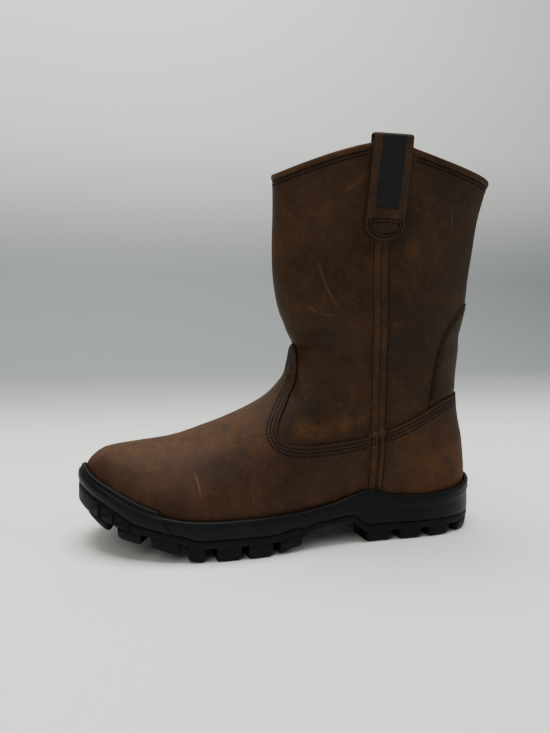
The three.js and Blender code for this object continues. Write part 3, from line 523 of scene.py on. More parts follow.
class Finish:
    """A procedural material. Lengths in its patterns are millimetres on the boot."""

    def __init__(self, name):
        self.material = bpy.data.materials.new(name)
        self.material.use_nodes = True
        self.tree = self.material.node_tree
        self.tree.nodes.clear()
        sockets = {0: self.node("ShaderNodeTexCoord", output="Object"), "Scale": 1 / METRE}
        self.millimetres = self.node("ShaderNodeVectorMath", {"operation": "SCALE"}, sockets)

    def node(self, kind, settings=None, sockets=None, output=0):
        """A new node's output, if it has any. The sockets' values may be Values."""
        plain = {k: v.socket if isinstance(v, Value) else v for k, v in (sockets or {}).items()}
        made = add_node(self.tree, kind, settings, plain)
        return Value(self, made.outputs[output]) if made.outputs else None

    def noise(self, grain, detail=2.0, rough=0.5, shift=0.0):
        """Noise whose lumps are about grain millimetres across."""
        sockets = {"Vector": self.millimetres, "Location": (shift, shift, shift)}
        moved = self.node("ShaderNodeMapping", sockets=sockets)
        sockets = {"Vector": moved, "Scale": 1 / grain, "Detail": detail, "Roughness": rough}
        return self.node("ShaderNodeTexNoise", sockets=sockets)

    def cells(self, grain):
        """Round cells about grain millimetres across, as the distance from each one's middle."""
        sockets = {"Vector": self.millimetres, "Scale": 1 / grain}
        return self.node("ShaderNodeTexVoronoi", sockets=sockets, output="Distance")

    def layer(self, name):
        """A number that the piece's mesh carries."""
        return self.node("ShaderNodeAttribute", {"attribute_name": name}, output="Fac")

    def blend(self, a, b, share):
        """Colour a where share is 0 and colour b where it is 1."""
        sockets = {"Factor": share, 6: a, 7: b}
        return self.node("ShaderNodeMix", {"data_type": "RGBA"}, sockets, output=2)

    def bump(self, height, distance, below=None):
        """Fine relief up to a distance in millimetres, over the relief below it."""
        sockets = {"Height": height, "Distance": distance * METRE}
        if below is not None:
            sockets["Normal"] = below
        return self.node("ShaderNodeBump", sockets=sockets)

    def surface(self, colour, rough, shine=0.5, normal=None):
        """The finished material."""
        sockets = {"Base Color": colour, "Roughness": rough, "Specular IOR Level": shine}
        if normal is not None:
            sockets["Normal"] = normal
        shader = self.node("ShaderNodeBsdfPrincipled", sockets=sockets)
        self.node("ShaderNodeOutputMaterial", sockets={"Surface": shader})
        return self.material


def paint(red, green, blue):
    """A colour given as it looks on a screen, from 0 to 255, made linear."""
    shares = [c / 255 for c in (red, green, blue)]
    return tuple(((s + 0.055) / 1.055) ** 2.4 if s > 0.04 else s / 12.92 for s in shares) + (1,)


def arc_through(a, b, c):
    """The centre and radius of the circle through three points of a plane."""
    (ax, ay), (bx, by), (cx, cy) = a, b, c
    d = 2 * (ax * (by - cy) + bx * (cy - ay) + cx * (ay - by))
    aa, bb, cc = ax**2 + ay**2, bx**2 + by**2, cx**2 + cy**2
    ux = (aa * (by - cy) + bb * (cy - ay) + cc * (ay - by)) / d
    uy = (aa * (cx - bx) + bb * (ax - cx) + cc * (bx - ax)) / d
    return (ux, uy), math.hypot(ax - ux, ay - uy)


# Scuffs on the outer side, in side view: three [reach, height] points along each, width, strength
SCUFFS = [
    ((223.5, 61), (220.0, 51), (219.5, 42), 1.0, 0.75),
    ((135.2, 205.5), (129.8, 188.4), (117.0, 167.0), 1.1, 0.4),
    ((141.9, 173.0), (130.0, 166.0), (119.5, 165.5), 1.2, 0.35),
    ((104.0, 264.0), (112.0, 256.0), (124.0, 249.0), 1.6, 0.35),
    ((37.0, 243.0), (34.0, 232.0), (35.5, 222.0), 1.0, 0.3),
    ((46.0, 228.0), (48.5, 224.0), (49.5, 219.0), 1.0, 0.3),
    ((158.0, 241.0), (154.0, 236.0), (150.0, 233.0), 0.8, 0.3),
    ((186.0, 47.0), (183.0, 41.0), (184.0, 36.0), 1.2, 0.35),
]


SCUFF_BREAKS = 4.5
# Across the boot, where the scuffs start and where they are full
OUTER_HALF = (0, -10)


def scuff_mask(finish):
    """Fine pale scratches where the outer side was scraped."""
    parts = finish.node("ShaderNodeSeparateXYZ", sockets={"Vector": finish.millimetres})
    x, y, z = (Value(finish, output) for output in parts.socket.node.outputs)
    side_view = finish.node("ShaderNodeCombineXYZ", sockets={"X": x, "Y": z})
    ragged = finish.noise(SCUFF_BREAKS, 3).within(0.25, 0.6)
    total = 0
    for a, b, c, width, strength in SCUFFS:
        points = [(PLACE[0] - p[0], p[1]) for p in (a, b, c)]
        centre, radius = arc_through(*points)
        reach = math.dist(points[0], points[2]) / 2
        middle = ((points[0][0] + points[2][0]) / 2, (points[0][1] + points[2][1]) / 2)

        def distance(to):
            """How far a place is from a point, in side view."""
            settings, sockets = {"operation": "DISTANCE"}, {0: side_view, 1: (*to, 0)}
            return finish.node("ShaderNodeVectorMath", settings, sockets, output="Value")

        line = (distance(centre) - radius).size().within(width, 0)
        ends = distance(middle).within(reach * 1.05, reach * 0.5)
        total = line * ends * strength + total
    return total * ragged * y.within(*OUTER_HALF)


# Finishes
LEATHER_SHINE, RUBBER_SHINE, CLOTH_SHINE, THREAD_SHINE = 0.16, 0.14, 0.2, 0.08
# Tones of scuffed leather, of painted shade in the leather's seams, grooves and edges, and of dust
SCUFF_TONE, SEAM_SHADE_TONE, DUST_TONE = paint(104, 76, 46), paint(17, 9, 5), paint(22, 26, 27)
CLOUD, PATCH, MOTTLE, SPECKLE = 48, 12, 3.2, 0.9
PORE, CREASE, NAP, DIMPLE = 0.85, 1.7, 0.32, 7
DUST, FINE_DUST, RUBBER_GRAIN, YARN_SHADE, THREAD_SHADE = 16, 0.5, 0.8, 6, 1.2
CLOTH_ROUGH, THREAD_ROUGH = 0.85, 0.85
GRAIN_DEPTH, DIMPLE_DEPTH, WEAVE_DEPTH = 0.11, 0.3, 0.12


def leather(name, tones, scuffs=False):
    """Oiled leather: mottled, fine-grained, paler where it is rubbed, with painted shade in its
    seams, grooves and edges and in darker patches, and painted highlight in paler patches.
    """
    f = Finish(name)
    dark, middle, warm = tones
    clouds = f.noise(CLOUD, 3, 0.5)
    patches = f.noise(PATCH, 4, 0.6, shift=31)
    speckle = f.noise(SPECKLE, 2, 0.6, shift=7)
    mottle = f.noise(MOTTLE, 3, 0.6, shift=23)
    coats = [
        (middle, (clouds * 0.7 + patches * 0.3).within(0.3, 0.6)),
        (warm, (clouds * 0.35 + patches * 0.65).within(0.5, 0.78) * 0.5),
        # Painted shade in darker patches
        (dark, f.layer("shade_patches")),
        # Paler where rubbed: real wear, with painted highlight at the ankle band and a few other
        # places
        (warm, f.layer("rub") * (patches + speckle * 0.6).within(0.5, 0.95) * 0.9),
        (warm, mottle.within(0.52, 0.75) * 0.3),
        (dark, mottle.within(0.48, 0.28) * 0.35),
        (dark, speckle.within(0.52, 0.36) * 0.4),
    ]
    if scuffs:
        coats.append((SCUFF_TONE, scuff_mask(f) * 0.7))
    # Painted shade: darker along stitch rows, in grooves, near overlay edges and on the faces under
    # overlays and straps
    coats.append((SEAM_SHADE_TONE, f.layer("seam") * 0.75))
    colour = dark
    for tone, share in coats:
        colour = f.blend(colour, tone, share)
    creases = f.noise(CREASE, 4, 0.65, shift=3)
    nap = f.noise(NAP, 1, 0.5, shift=11)
    normal = f.bump(f.cells(PORE) * 0.5 + creases * 0.9 + nap * 0.25, GRAIN_DEPTH)
    normal = f.bump(f.noise(DIMPLE, 2, 0.5, shift=17), DIMPLE_DEPTH, normal)
    rough = 0.52 + patches * 0.14 + speckle * 0.08 + f.layer("rub") * 0.12
    return f.surface(colour, rough, LEATHER_SHINE, normal)


def rubber(name, tone, rough, lump):
    """Moulded rubber with a little dust. lump is how deep its fine unevenness goes."""
    f = Finish(name)
    dust = f.noise(DUST, 4, 0.6)
    fine = f.noise(FINE_DUST, 2, 0.6)
    dusty = dust.within(0.5, 0.85) * 0.3 + fine.within(0.62, 0.8) * 0.1
    colour = f.blend(tone, DUST_TONE, dusty)
    normal = f.bump(f.noise(RUBBER_GRAIN, 2, 0.5, shift=9), lump)
    return f.surface(colour, rough + dust * 0.14, RUBBER_SHINE, normal)


def cloth(name, tone, pale, weave):
    """A fine weave of crossing yarns."""
    f = Finish(name)
    waves = []
    for direction in ("X", "Z"):
        sockets = {"Vector": f.millimetres, "Scale": 1 / weave}
        waves.append(f.node("ShaderNodeTexWave", {"bands_direction": direction}, sockets, "Fac"))
    height = waves[0].at_least(waves[1])
    # Paler where the weave stands high and darker in its hollows: painted light and shade on the
    # weave's relief, over random tone from the noise
    colour = f.blend(tone, pale, height * 0.5 + f.noise(YARN_SHADE, 2) * 0.3)
    return f.surface(colour, CLOTH_ROUGH, CLOTH_SHINE, f.bump(height, WEAVE_DEPTH))


# Dark, middle and warm tones of each leather
SHAFT_TONES = (paint(26, 15, 4), paint(48, 29, 11), paint(78, 50, 22))
VAMP_TONES = (paint(33, 18, 7), paint(53, 32, 15), paint(80, 50, 24))
TRIM_TONES = (paint(28, 17, 9), paint(44, 29, 17), paint(68, 46, 27))
shaft_leather = leather("shaft_leather", SHAFT_TONES, scuffs=True)
vamp_leather = leather("vamp_leather", VAMP_TONES, scuffs=True)
trim_leather = leather("trim_leather", TRIM_TONES)
lining = cloth("lining_cloth", paint(70, 62, 52), paint(96, 86, 74), 1.1)
insole_cloth = cloth("insole_cloth", paint(38, 35, 33), paint(64, 60, 56), 0.9)
label_weave = cloth("label_weave", paint(12, 12, 14), paint(26, 26, 30), 0.7)
sole_rubber = rubber("sole_rubber", paint(3, 4, 5), 0.45, 0.03)
tread_rubber = rubber("tread_rubber", paint(2, 3, 4), 0.55, 0.06)


def thread_finish():
    """Dark brown waxed thread."""
    f = Finish("thread")
    colour = f.blend(paint(8, 3, 1), paint(20, 10, 5), f.noise(THREAD_SHADE, 2))
    return f.surface(colour, THREAD_ROUGH, THREAD_SHINE)


thread = thread_finish()

# Folds of the worn leather: each runs between two places given as [station, row], and has a
# width and a depth
FOLDS = [
    ((0.47, 13.1), (0.37, 12.5), 10, 0.55),
    ((0.53, 13.1), (0.63, 12.5), 10, 0.55),
    ((0.46, 10.4), (0.40, 9.2), 8, 0.5),
    ((0.54, 10.4), (0.60, 9.2), 8, 0.6),
    ((0.04, 12.6), (0.14, 12.0), 12, 0.6),
    ((0.96, 12.6), (0.86, 12.0), 12, 0.6),
    ((0.43, 15.6), (0.36, 14.6), 16, 0.7),
    ((0.16, 16.3), (0.10, 15.2), 18, 0.6),
    ((0.62, 15.8), (0.68, 14.8), 16, 0.8),
    ((0.47, 6.4), (0.40, 5.8), 7, 0.35),
    ((0.53, 6.4), (0.60, 5.8), 7, 0.35),
]
RIDGE_SHARE, TROUGH_WIDTH = 0.45, 0.5
FOLD_LINES = [
    (skin(dense(a[0], b[0], 9), dense(a[1], b[1], 9)), width, depth)
    for a, b, width, depth in FOLDS
]
AT_A_TIME = 4096


def nearest(points, line):
    """Each point's distance to the nearest point of a line given as points."""
    flat = points.reshape(-1, 3)
    result = np.empty(len(flat))
    for start in range(0, len(flat), AT_A_TIME):
        batch = slice(start, start + AT_A_TIME)
        result[batch] = np.sqrt(((flat[batch, None] - line[None]) ** 2).sum(-1)).min(1)
    return result.reshape(points.shape[:-1])


def folds(points):
    """How far the leather moves out or in: a trough along each fold, with a soft ridge beside it."""
    total = np.zeros(points.shape[:-1])
    for line, width, depth in FOLD_LINES:
        distance = nearest(points, line)
        ridge = np.exp(-(((distance - width) / width) ** 2))
        trough = np.exp(-((distance / (TROUGH_WIDTH * width)) ** 2))
        total += depth * (RIDGE_SHARE * ridge - trough)
    return total


# Seams
# The vamp's upper edge, as [station, row]
VAMP_EDGE = [
    (0.25, 6.43), (0.2739, 6.01), (0.2932, 5.84), (0.3115, 5.76), (0.3228, 5.81), (0.3339, 6.0),
    (0.3463, 6.38), (0.3599, 6.92), (0.3744, 7.57), (0.3988, 8.5), (0.4307, 9.58), (0.449, 10.45),
    (0.462, 10.98), (0.478, 11.35), (0.5, 11.5),
]
vamp_edge_row = gentle(*zip(*VAMP_EDGE))
# The counter's, in the same form
COUNTER_EDGE = [(0, 9.62), (0.06, 9.45), (0.1188, 9.08), (0.1666, 8.22), (0.2167, 7.07), (0.25, 6.43)]
counter_edge_row = gentle(*zip(*COUNTER_EDGE))
# The back stay's side edge, as [row, station], up to where its round top begins
STAY_EDGE = [
    (8.0, 0.161), (9.68, 0.1553), (10.54, 0.152), (11.04, 0.148), (11.71, 0.1398),
    (12.15, 0.1363), (12.55, 0.1323), (12.9, 0.1269), (13.17, 0.1196), (13.39, 0.1119),
    (13.66, 0.098), (13.85, 0.0821), (13.94, 0.0747), (14.02, 0.0522),
]
stay_half = gentle(*zip(*STAY_EDGE))
STAY_SHOULDER, SHOULDER_HALF = STAY_EDGE[-1]
STAY_TOP = 14.06
HALVINGS = 14
DEEPEST_ROW = 3.0


def to_outer(stations):
    """The same stations mirrored onto the outer side."""
    return np.where(stations % 1 <= 0.5, stations % 1, 1 - stations % 1)


def rows_inside(stations, edge_row, edge_points, distance):
    """The rows at which a panel is a distance in from its upper edge, for each station."""
    edge = edge_row(to_outer(stations))
    deep = lambda row: nearest(skin(stations, row), edge_points) > distance
    return halving(edge - DEEPEST_ROW, edge, deep, HALVINGS)


def stations_inside(rows, half_station, edge_points, distance):
    """The stations at which a patch is a distance in from its side edge, for each row."""
    deep = lambda station: nearest(skin(station, rows), edge_points) > distance
    return halving(np.zeros(len(rows)), half_station(rows), deep, HALVINGS)


def edge_line(edge_row, *lines):
    """Points along a panel's upper edge, for each line of stations."""
    return np.concatenate([skin(u, edge_row(to_outer(u))) for u in lines])


side_line = dense(0.25, 0.5, 160)
back_line = dense(0.0, 0.25, 120)
vamp_edge_points = edge_line(vamp_edge_row, side_line, 1 - side_line)
counter_edge_points = edge_line(counter_edge_row, back_line, -back_line)

# Millimetres from an edge to its stitch rows, and the pitch of the stitches
VAMP_ROWS, COLLAR_ROWS, STAY_ROWS = (2.4, 4.9, 7.4), (0.9, 3.4), (1.6, 4.2)
STITCH, SHORT_STITCH = 2.65, 2.3
# The stations between which the collar's rows run, on both sides of the strip
COLLAR_LINES = [(0.0, 0.213), (0.287, 0.5)]
FIRST_ROW = 0.12
COLLAR_BAND = 4.5
OVERLAY_TOP, STAY_SEAM_LIFT = CLEARANCE + OVERLAY, 0.9
THREAD_PULL = 0.9

# Stitch rows on the panels, as [stations, rows, pitch, lift]. They draw the leather in as well.
sewn = []


def sew(stations, rows, pitch=STITCH, lift=0.0):
    """Notes a stitch row of the outer side and its twin on the inner side."""
    sewn.append((stations, rows, pitch, lift))
    sewn.append((1 - stations, rows, pitch, lift))


def below_collar(stations, drop):
    """The rows that lie a drop below the collar's rim."""
    turn = station_turn(stations, np.full(np.shape(stations), float(COLLAR_ROW)))
    return row_at_height(turn, upper_point(turn, COLLAR_ROW)[..., 2] - drop)


for distance in VAMP_ROWS:
    front, back = side_line[6:-1], back_line[1:-3]
    sew(front, rows_inside(front, vamp_edge_row, vamp_edge_points, distance), lift=OVERLAY_TOP)
    sew(back, rows_inside(back, counter_edge_row, counter_edge_points, distance), lift=OVERLAY_TOP)
for distance in COLLAR_ROWS:
    for start, end in COLLAR_LINES:
        part = dense(start, end, 70)
        sew(part, below_collar(part, COLLAR_BAND + distance), SHORT_STITCH)
stay_rows = np.concatenate([dense(9.15, 13.0, 60), dense(13.03, 13.9, 40)])
edge_rows = np.concatenate([dense(8.8, 13.0, 120), dense(13.01, STAY_SHOULDER, 80)])
stay_edge_points = np.concatenate([skin(k * stay_half(edge_rows), edge_rows) for k in (1, -1)])
for distance in STAY_ROWS:
    inside = stations_inside(stay_rows, stay_half, stay_edge_points, distance)
    sew(inside, stay_rows, lift=STAY_SEAM_LIFT)
seam_points = np.concatenate([skin(u, r) for u, r, _, _ in sewn])


def seam_depth(points):
    """Where the thread pulls the leather in: 1 on a stitch row."""
    return np.exp(-((nearest(points, seam_points) / THREAD_PULL) ** 2))


# Darker patches of painted shade, as [station, row, size, strength]
SHADE_PATCHES = [
    (0.36, 8.4, 20, 0.7), (0.4, 7.4, 12, 0.4), (0.13, 15.2, 24, 0.55), (0.19, 12.2, 22, 0.45),
    (0.3, 14.6, 18, 0.35), (0.09, 12.6, 14, 0.5), (0.42, 12.2, 16, 0.35), (0.3, 4.2, 22, 0.35),
    (0.64, 8.4, 22, 0.6), (0.85, 14.2, 26, 0.5), (0.7, 15.0, 20, 0.4), (0.22, 16.8, 14, 0.4),
]
# Paler places of painted highlight, most of them in a band at the ankle just above the vamp's seam,
# in the same form
HIGHLIGHT_PATCHES = [
    (0.34, 7.3, 7, 0.9), (0.315, 7.1, 7, 0.9), (0.29, 7.3, 7, 0.9), (0.27, 7.7, 7, 0.6),
    (0.66, 7.3, 7, 0.9), (0.685, 7.1, 7, 0.9), (0.71, 7.3, 7, 0.9), (0.46, 16.0, 12, 0.5),
    (0.12, 10.6, 12, 0.5), (0.2, 15.8, 10, 0.4),
]
# Rubbed places low on the heel, on the toe and on the instep: reach and height from and to, strength
RUBBED = [((75, 30), (88, 60), 0.75), ((200, 250), (55, 68), 0.5), ((150, 185), (62, 78), 0.6)]


def spots_at(points, spots):
    """How strongly the round spots of a table show at points."""
    total = np.zeros(points.shape[:-1])
    for station, row, size, strength in spots:
        total += strength * np.exp(-((points - skin(station, row)) ** 2).sum(-1) / size**2)
    return np.clip(total, 0, 1)


def rub_at(points):
    """Where the leather is rubbed pale by what the foot strikes."""
    total = np.zeros(points.shape[:-1])
    for reach, height, strength in RUBBED:
        total += ease(*reach, -points[..., 0]) * ease(*height, points[..., 2]) * strength
    return np.clip(total, 0, 1)


def leather_layers(columns, seam, rub):
    """The numbers that a leather piece's corners carry for its finish."""
    # seam carries painted shade, rub real wear with some painted highlight, and the third key painted
    # shade in darker patches
    return {"seam": seam.ravel(), "rub": np.ravel(rub), "shade_patches": spots_at(columns, SHADE_PATCHES).ravel()}


# The collar's fold, as [drop below the rim, lift off the wall], up the outside and down the inside
COLLAR_OUTSIDE = [
    (9.0, 0), (7.8, 0), (6.6, 0), (5.6, 0), (5.0, -0.1), (4.6, 0.05), (4.3, 0.45), (3.6, 0.75),
    (2.4, 0.85), (1.3, 0.75), (0.55, 0.35), (0.12, -0.35),
]
COLLAR_INSIDE = [
    (0.12, 0.5), (0.6, -0.15), (1.4, -0.5), (2.6, -0.5), (4.2, -0.5), (6.0, -0.45), (8.0, -0.3),
    (8.8, 0),
]
# Which of the outside points lie in the groove under the fold
GROOVE_FROM, GROOVE_TO = 4, 6
# Painted shade in the groove under the fold, and how pale the rubbed fold is
GROOVE_SHADE, FOLD_RUB = 0.8, 0.3
WALL_DIP = 0.3
UPPER_COLUMNS = 280
OUTSIDE_ROWS = np.concatenate([dense(FIRST_ROW, 5.4, 16), dense(5.55, 17.4, 120)])
INSIDE_ROWS = np.concatenate([dense(17.2, 5.4, 50), dense(5.2, FIRST_ROW, 16)])


def make_upper():
    """The shaft and the foot under the overlays: outside, collar's fold and lining as one wall."""
    stations = dense(0, 1, UPPER_COLUMNS + 1)[:-1]

    def wall(rows):
        """A face of the wall through rows, its outward directions and how its folds move it."""
        face, normal = face_and_normal(*np.meshgrid(stations, rows, indexing="ij"))
        return face, normal, folds(face)

    def collar(table, below):
        """The points of a table of the collar's fold, on every station."""
        drops, lifts = np.array(table).T
        u = np.repeat(stations[:, None], len(table), 1)
        return skin(u, below_collar(u, drops[None]), np.broadcast_to(below + lifts, u.shape))

    face, normal, bend = wall(OUTSIDE_ROWS)
    depth = seam_depth(face)
    outer = face + normal * (bend - WALL_DIP * depth)[..., None]
    face, normal, bend = wall(INSIDE_ROWS)
    inner = face + normal * (bend - WALL)[..., None]
    band, inner_band = collar(COLLAR_OUTSIDE, 0), collar(COLLAR_INSIDE, -WALL)
    columns = np.concatenate([outer, band, inner_band, inner], 1)
    fold = outer.shape[1]
    lining_start = fold + band.shape[1] + inner_band.shape[1] - 1
    seam, rub = np.zeros(columns.shape[:2]), np.zeros(columns.shape[:2])
    # Painted shade along the stitch rows, where the thread pulls the leather in
    seam[:, :fold] = depth
    seam[:, fold : fold + band.shape[1]] = seam_depth(band)
    # Painted shade in the groove under the collar's fold
    seam[:, fold + GROOVE_FROM : fold + GROOVE_TO] = GROOVE_SHADE
    # Real wear where the foot strikes, and painted highlight at the paler places
    rub[:, :fold] = np.maximum(rub_at(outer), spots_at(outer, HIGHLIGHT_PATCHES))
    rub[:, fold + GROOVE_TO : lining_start] = FOLD_RUB
    finishes, finish_at = [shaft_leather, lining], lambda j: (j >= lining_start) * 1
    layers = leather_layers(columns, seam, rub)
    solid("upper", [shell(columns, True)], finishes, finish_at, layers)


def rounded(away, radius):
    """How far up a rounded edge the face stands, by distance from the edge."""
    return np.sqrt(np.clip(1 - ((radius - np.minimum(away, radius)) / radius) ** 2, 0, 1))


def overlay(name, base, normal, lift, low, dark, rub, finish):
    """Leather laid over the base: its outer face at a lift, its inner one low over what is below."""
    bend = folds(base)
    outer = base + normal * (lift + bend)[..., None]
    columns = sheet(outer, base + normal * (low + bend)[..., None])
    # The faces under the overlay are wholly darkened: painted shade beneath it
    layers = leather_layers(columns, np.concatenate([dark, np.ones(dark.shape)], 1), rub)
    solid(name, [shell(columns)], [finish], None, layers)


PANEL_FOOT, PANEL_ROUND, PANEL_SINK, PANEL_LOW = 0.3, 0.8, 0.15, 0.05
PUFF, PUFF_ENDS, PANEL_DIP = 0.35, (9.5, 7.5), 0.38
# Shares of the way from a panel's foot to its edge, closer together near the edge
PANEL_UP = np.concatenate([dense(0, 0.72, 26)[:-1], dense(0.72, 1, 44)])
# Painted shade near an overlay's edge: its strength, and how far it reaches on the panels and on the
# back stay
EDGE_SHADE, PANEL_SHADE, STAY_SHADE = 0.9, 0.7, 0.6


def panel(name, stations, edge, edge_points):
    """Leather laid over the upper from its foot to a rounded upper edge, swollen at its seams."""
    u = np.repeat(stations[:, None], len(PANEL_UP), 1)
    r = mix(PANEL_FOOT, edge(to_outer(stations))[:, None], PANEL_UP[None])
    base, normal = face_and_normal(u, r)
    away, depth = nearest(base, edge_points), seam_depth(base)
    full = OVERLAY + PANEL_SINK + PUFF * ease(*PUFF_ENDS, away)
    lift = PANEL_SINK + full * rounded(away, PANEL_ROUND) - PANEL_DIP * depth
    # Painted shade along the stitch rows and near the panel's edge
    dark = np.maximum(depth, np.exp(-((away / PANEL_SHADE) ** 2)) * EDGE_SHADE)
    rub = np.concatenate([rub_at(base), np.zeros(depth.shape)], 1)
    overlay(name, base, normal, lift, PANEL_LOW, dark, rub, vamp_leather)


STAY_ROUND, STAY_SINK, STAY_THICK, STAY_DIP, STAY_RUB = 0.7, 0.1, 0.95, 0.3, 0.1
# Rows above the counter's edge between which the back stay comes out from under it
STAY_COMES = (-0.1, 0.5)
TRIM_LOW = 0.02


def make_back_stay():
    """The round-topped patch up the back, whose foot lies under the counter."""
    steps = [dense(8.6, 12.6, 40)[:-1], dense(12.6, 13.9, 26)[:-1], dense(13.9, STAY_TOP, 12)]
    rows = np.concatenate(steps)
    cap = np.sqrt(np.clip((STAY_TOP - rows) / (STAY_TOP - STAY_SHOULDER), 0, 1))
    half = np.where(rows <= STAY_SHOULDER, stay_half(rows), SHOULDER_HALF * cap)
    u = dense(-1, 1, 71)[:, None] * half[None]
    r = np.broadcast_to(rows[None], u.shape)
    base, normal = face_and_normal(u, r)
    away = nearest(base, np.concatenate([skin(half, rows), skin(-half, rows), base[:, -1]]))
    free = ease(*STAY_COMES, r - counter_edge_row(np.abs(u)))
    depth = seam_depth(base)
    lift = STAY_SINK + STAY_THICK * rounded(away, STAY_ROUND) * free - STAY_DIP * depth * free
    # Painted shade along the stitch rows and near the stay's edge
    dark = np.maximum(depth, np.exp(-((away / STAY_SHADE) ** 2)) * EDGE_SHADE)
    overlay("back_stay", base, normal, lift, TRIM_LOW, dark, STAY_RUB, shaft_leather)


# Across the side strip, from front to back: place in millimetres and height over what is below
STRIP_PROFILE = [
    (-7.0, 0.15), (-6.2, 0.5), (-5.4, 0.72), (-4.2, 0.8), (-2.6, 1.0), (-1.2, 1.15), (-0.35, 1.1),
    (0.0, 0.85), (0.12, 0.3), (0.5, 0.35), (1.1, 0.85), (2.4, 1.15), (4.2, 1.2), (5.6, 1.1),
    (6.4, 0.95), (6.85, 0.6), (7.0, 0.05),
]
# Painted shade along it, in its groove, at its rear edge and on its stitch rows: place, square of the
# width, strength
STRIP_SHADE = [(0.15, 0.16, 1), (7.0, 0.16, 1), (-5.6, 0.3, 0.5), (5.7, 0.3, 0.5)]
# Stitch rows along it: place, last row, points
STRIP_STITCHES = [(-5.6, 16.0, 160), (5.7, 16.0, 160), (1.4, 5.6, 40)]
STRIP_FOOT, STRIP_TOP, STRIP_FIRST_STITCH, STRIP_SEWN, STRIP_RUB = 1.2, 17.55, 1.3, 6.8, 0.35
ROW_MILLIMETRES = 7.8
# About where the vamp and the counter meet, from which overlay_row closes in on their edges
MEETING_ROW, EDGE_ROUNDS = 6.4, 4
# How far the strip rises over the vamp and the counter, and the rows over which it comes down
STRIP_RISE, STRIP_COMES_DOWN = OVERLAY_TOP + 0.1, (-0.05, 0.35)

# Stitch rows on strips and straps, as [points, normals, pitch]
sewn_free = []


def overlay_row(across):
    """The row of the vamp's or the counter's upper edge, by millimetres across a side strip."""
    row = np.full(np.shape(across), MEETING_ROW)
    for _ in range(EDGE_ROUNDS):
        turn = turn_at_reach(strap_reach(row) - across, row, OUTER)
        seam = turn_at_reach(strap_reach(row), row, OUTER)
        ahead = SEAM + (0.5 - SEAM) * (turn - seam) / (np.pi - seam)
        station = np.where(turn < seam, SEAM * turn / seam, ahead)
        row = np.where(station < SEAM, counter_edge_row(station), vamp_edge_row(station))
    return row


def strip_place(side, across, rows):
    """The turn and the extra lift of places on a side strip, told by millimetres across it."""
    turn = turn_at_reach(strap_reach(rows) - across, rows, side)
    edge = overlay_row(across)
    start, end = (edge + step for step in STRIP_COMES_DOWN)
    return turn, STRIP_RISE * (1 - ease(start, end, rows))


def sew_strip(side, across, rows):
    """Notes a stitch row on a side strip, by millimetres across it and rows."""
    across = across + np.zeros(rows.shape)
    turn, extra = strip_place(side, across, rows)
    lift = np.interp(across, *zip(*STRIP_PROFILE)) + extra + folds(upper_point(turn, rows))
    sewn_free.append((offset_point(turn, rows, lift), upper_normal(turn, rows), STITCH))


def make_side_strip(side, name):
    """The strip down a side seam, with a groove along it, and its stitch rows."""
    rows = dense(STRIP_FOOT, STRIP_TOP, 190)
    across, heights = np.array(STRIP_PROFILE).T
    a, r = np.meshgrid(across, rows, indexing="ij")
    turn, extra = strip_place(side, a, r)
    base, lift = upper_point(turn, r), heights[:, None] + extra
    # Painted shade in the groove, at the rear edge and on the stitch rows
    lines = [strength * np.exp(-((a - at) ** 2) / width) for at, width, strength in STRIP_SHADE]
    dark = np.clip(sum(lines), 0, 1)
    normal = upper_normal(turn, r)
    overlay(name, base, normal, lift, TRIM_LOW, dark, STRIP_RUB, shaft_leather)
    for place, last, points in STRIP_STITCHES:
        sew_strip(side, place, dense(STRIP_FIRST_STITCH, last, points))
    over = dense(-STRIP_SEWN, STRIP_SEWN, 24)
    for distance in VAMP_ROWS:
        sew_strip(side, over, overlay_row(over) - distance / ROW_MILLIMETRES)


# Pull straps
LOOP_WIDTH, LOOP_DROP, LOOP_INSIDE, LOOP_THICK, LOOP_RISE = 29.0, 69.0, 46.0, 2.0, 3.2
LOOP_END_ROW = 16.0
CROWN_SQUARE, CROWN_SWELL = 0.7, 0.3
# At the outer foot: millimetres up from its edge and share of the thickness. Then the shares at
# the inner end.
FOOT_TIPS, END_TIPS = [(0, 0.15), (0.25, 0.65), (0.8, 0.95)], (0.6, 0.15)
STRIP_GAP = 0.5
FOOT_ROUND = 1.9
LOOP_LIFT = STRIP_GAP + OVERLAY_TOP
# From the middle of the strap out: share of the width and share of the thickness. Then the same of
# its label.
LOOP_ACROSS = [
    (0, 1), (0.12, 1), (0.25, 1), (0.36, 1), (0.43, 1), (0.47, 0.85), (0.49, 0.55), (0.5, 0.1),
]
LABEL_ACROSS = [(0, 0.8), (0.15, 0.8), (0.3, 0.8), (0.4, 0.95), (0.46, 1), (0.49, 0.75), (0.5, 0.1)]
# The stitched box: millimetres in from the strap's edge and drop of its straight top
LOOP_BOXES = [(2.2, 54.0), (4.6, 56.4)]
BOX_CORNER = 2.0
# How pale the strap is rubbed, and painted shade on its side edges and on the face that lies toward
# the boot
LOOP_RUB, LOOP_EDGE_SHADE, LOOP_BACK_SHADE = 0.25, 0.8, 0.6


def both_ways(half):
    """A table of places from the middle out, with the same places on the other side before them."""
    return [(-place, share) for place, share in half[:0:-1]] + half


def loop_point(side, across, drop, lift):
    """A point on a pull strap's face, by millimetres across it and down from the collar."""
    drop = np.asarray(drop, float)
    seam = strap_reach(float(COLLAR_ROW))
    top = float(upper_point(turn_at_reach(seam, COLLAR_ROW, side), COLLAR_ROW)[..., 2])
    turn = turn_at_reach(np.full(drop.shape, seam), np.full(drop.shape, float(COLLAR_ROW)), side)
    row = row_at_height(turn, top - drop)
    reach = mix(seam, strap_reach(LOOP_END_ROW), np.clip(drop / LOOP_DROP, 0, 1)) - across
    place = turn_at_reach(reach, row, side)
    return offset_point(place, row, lift + np.zeros(row.shape)), upper_normal(place, row), top


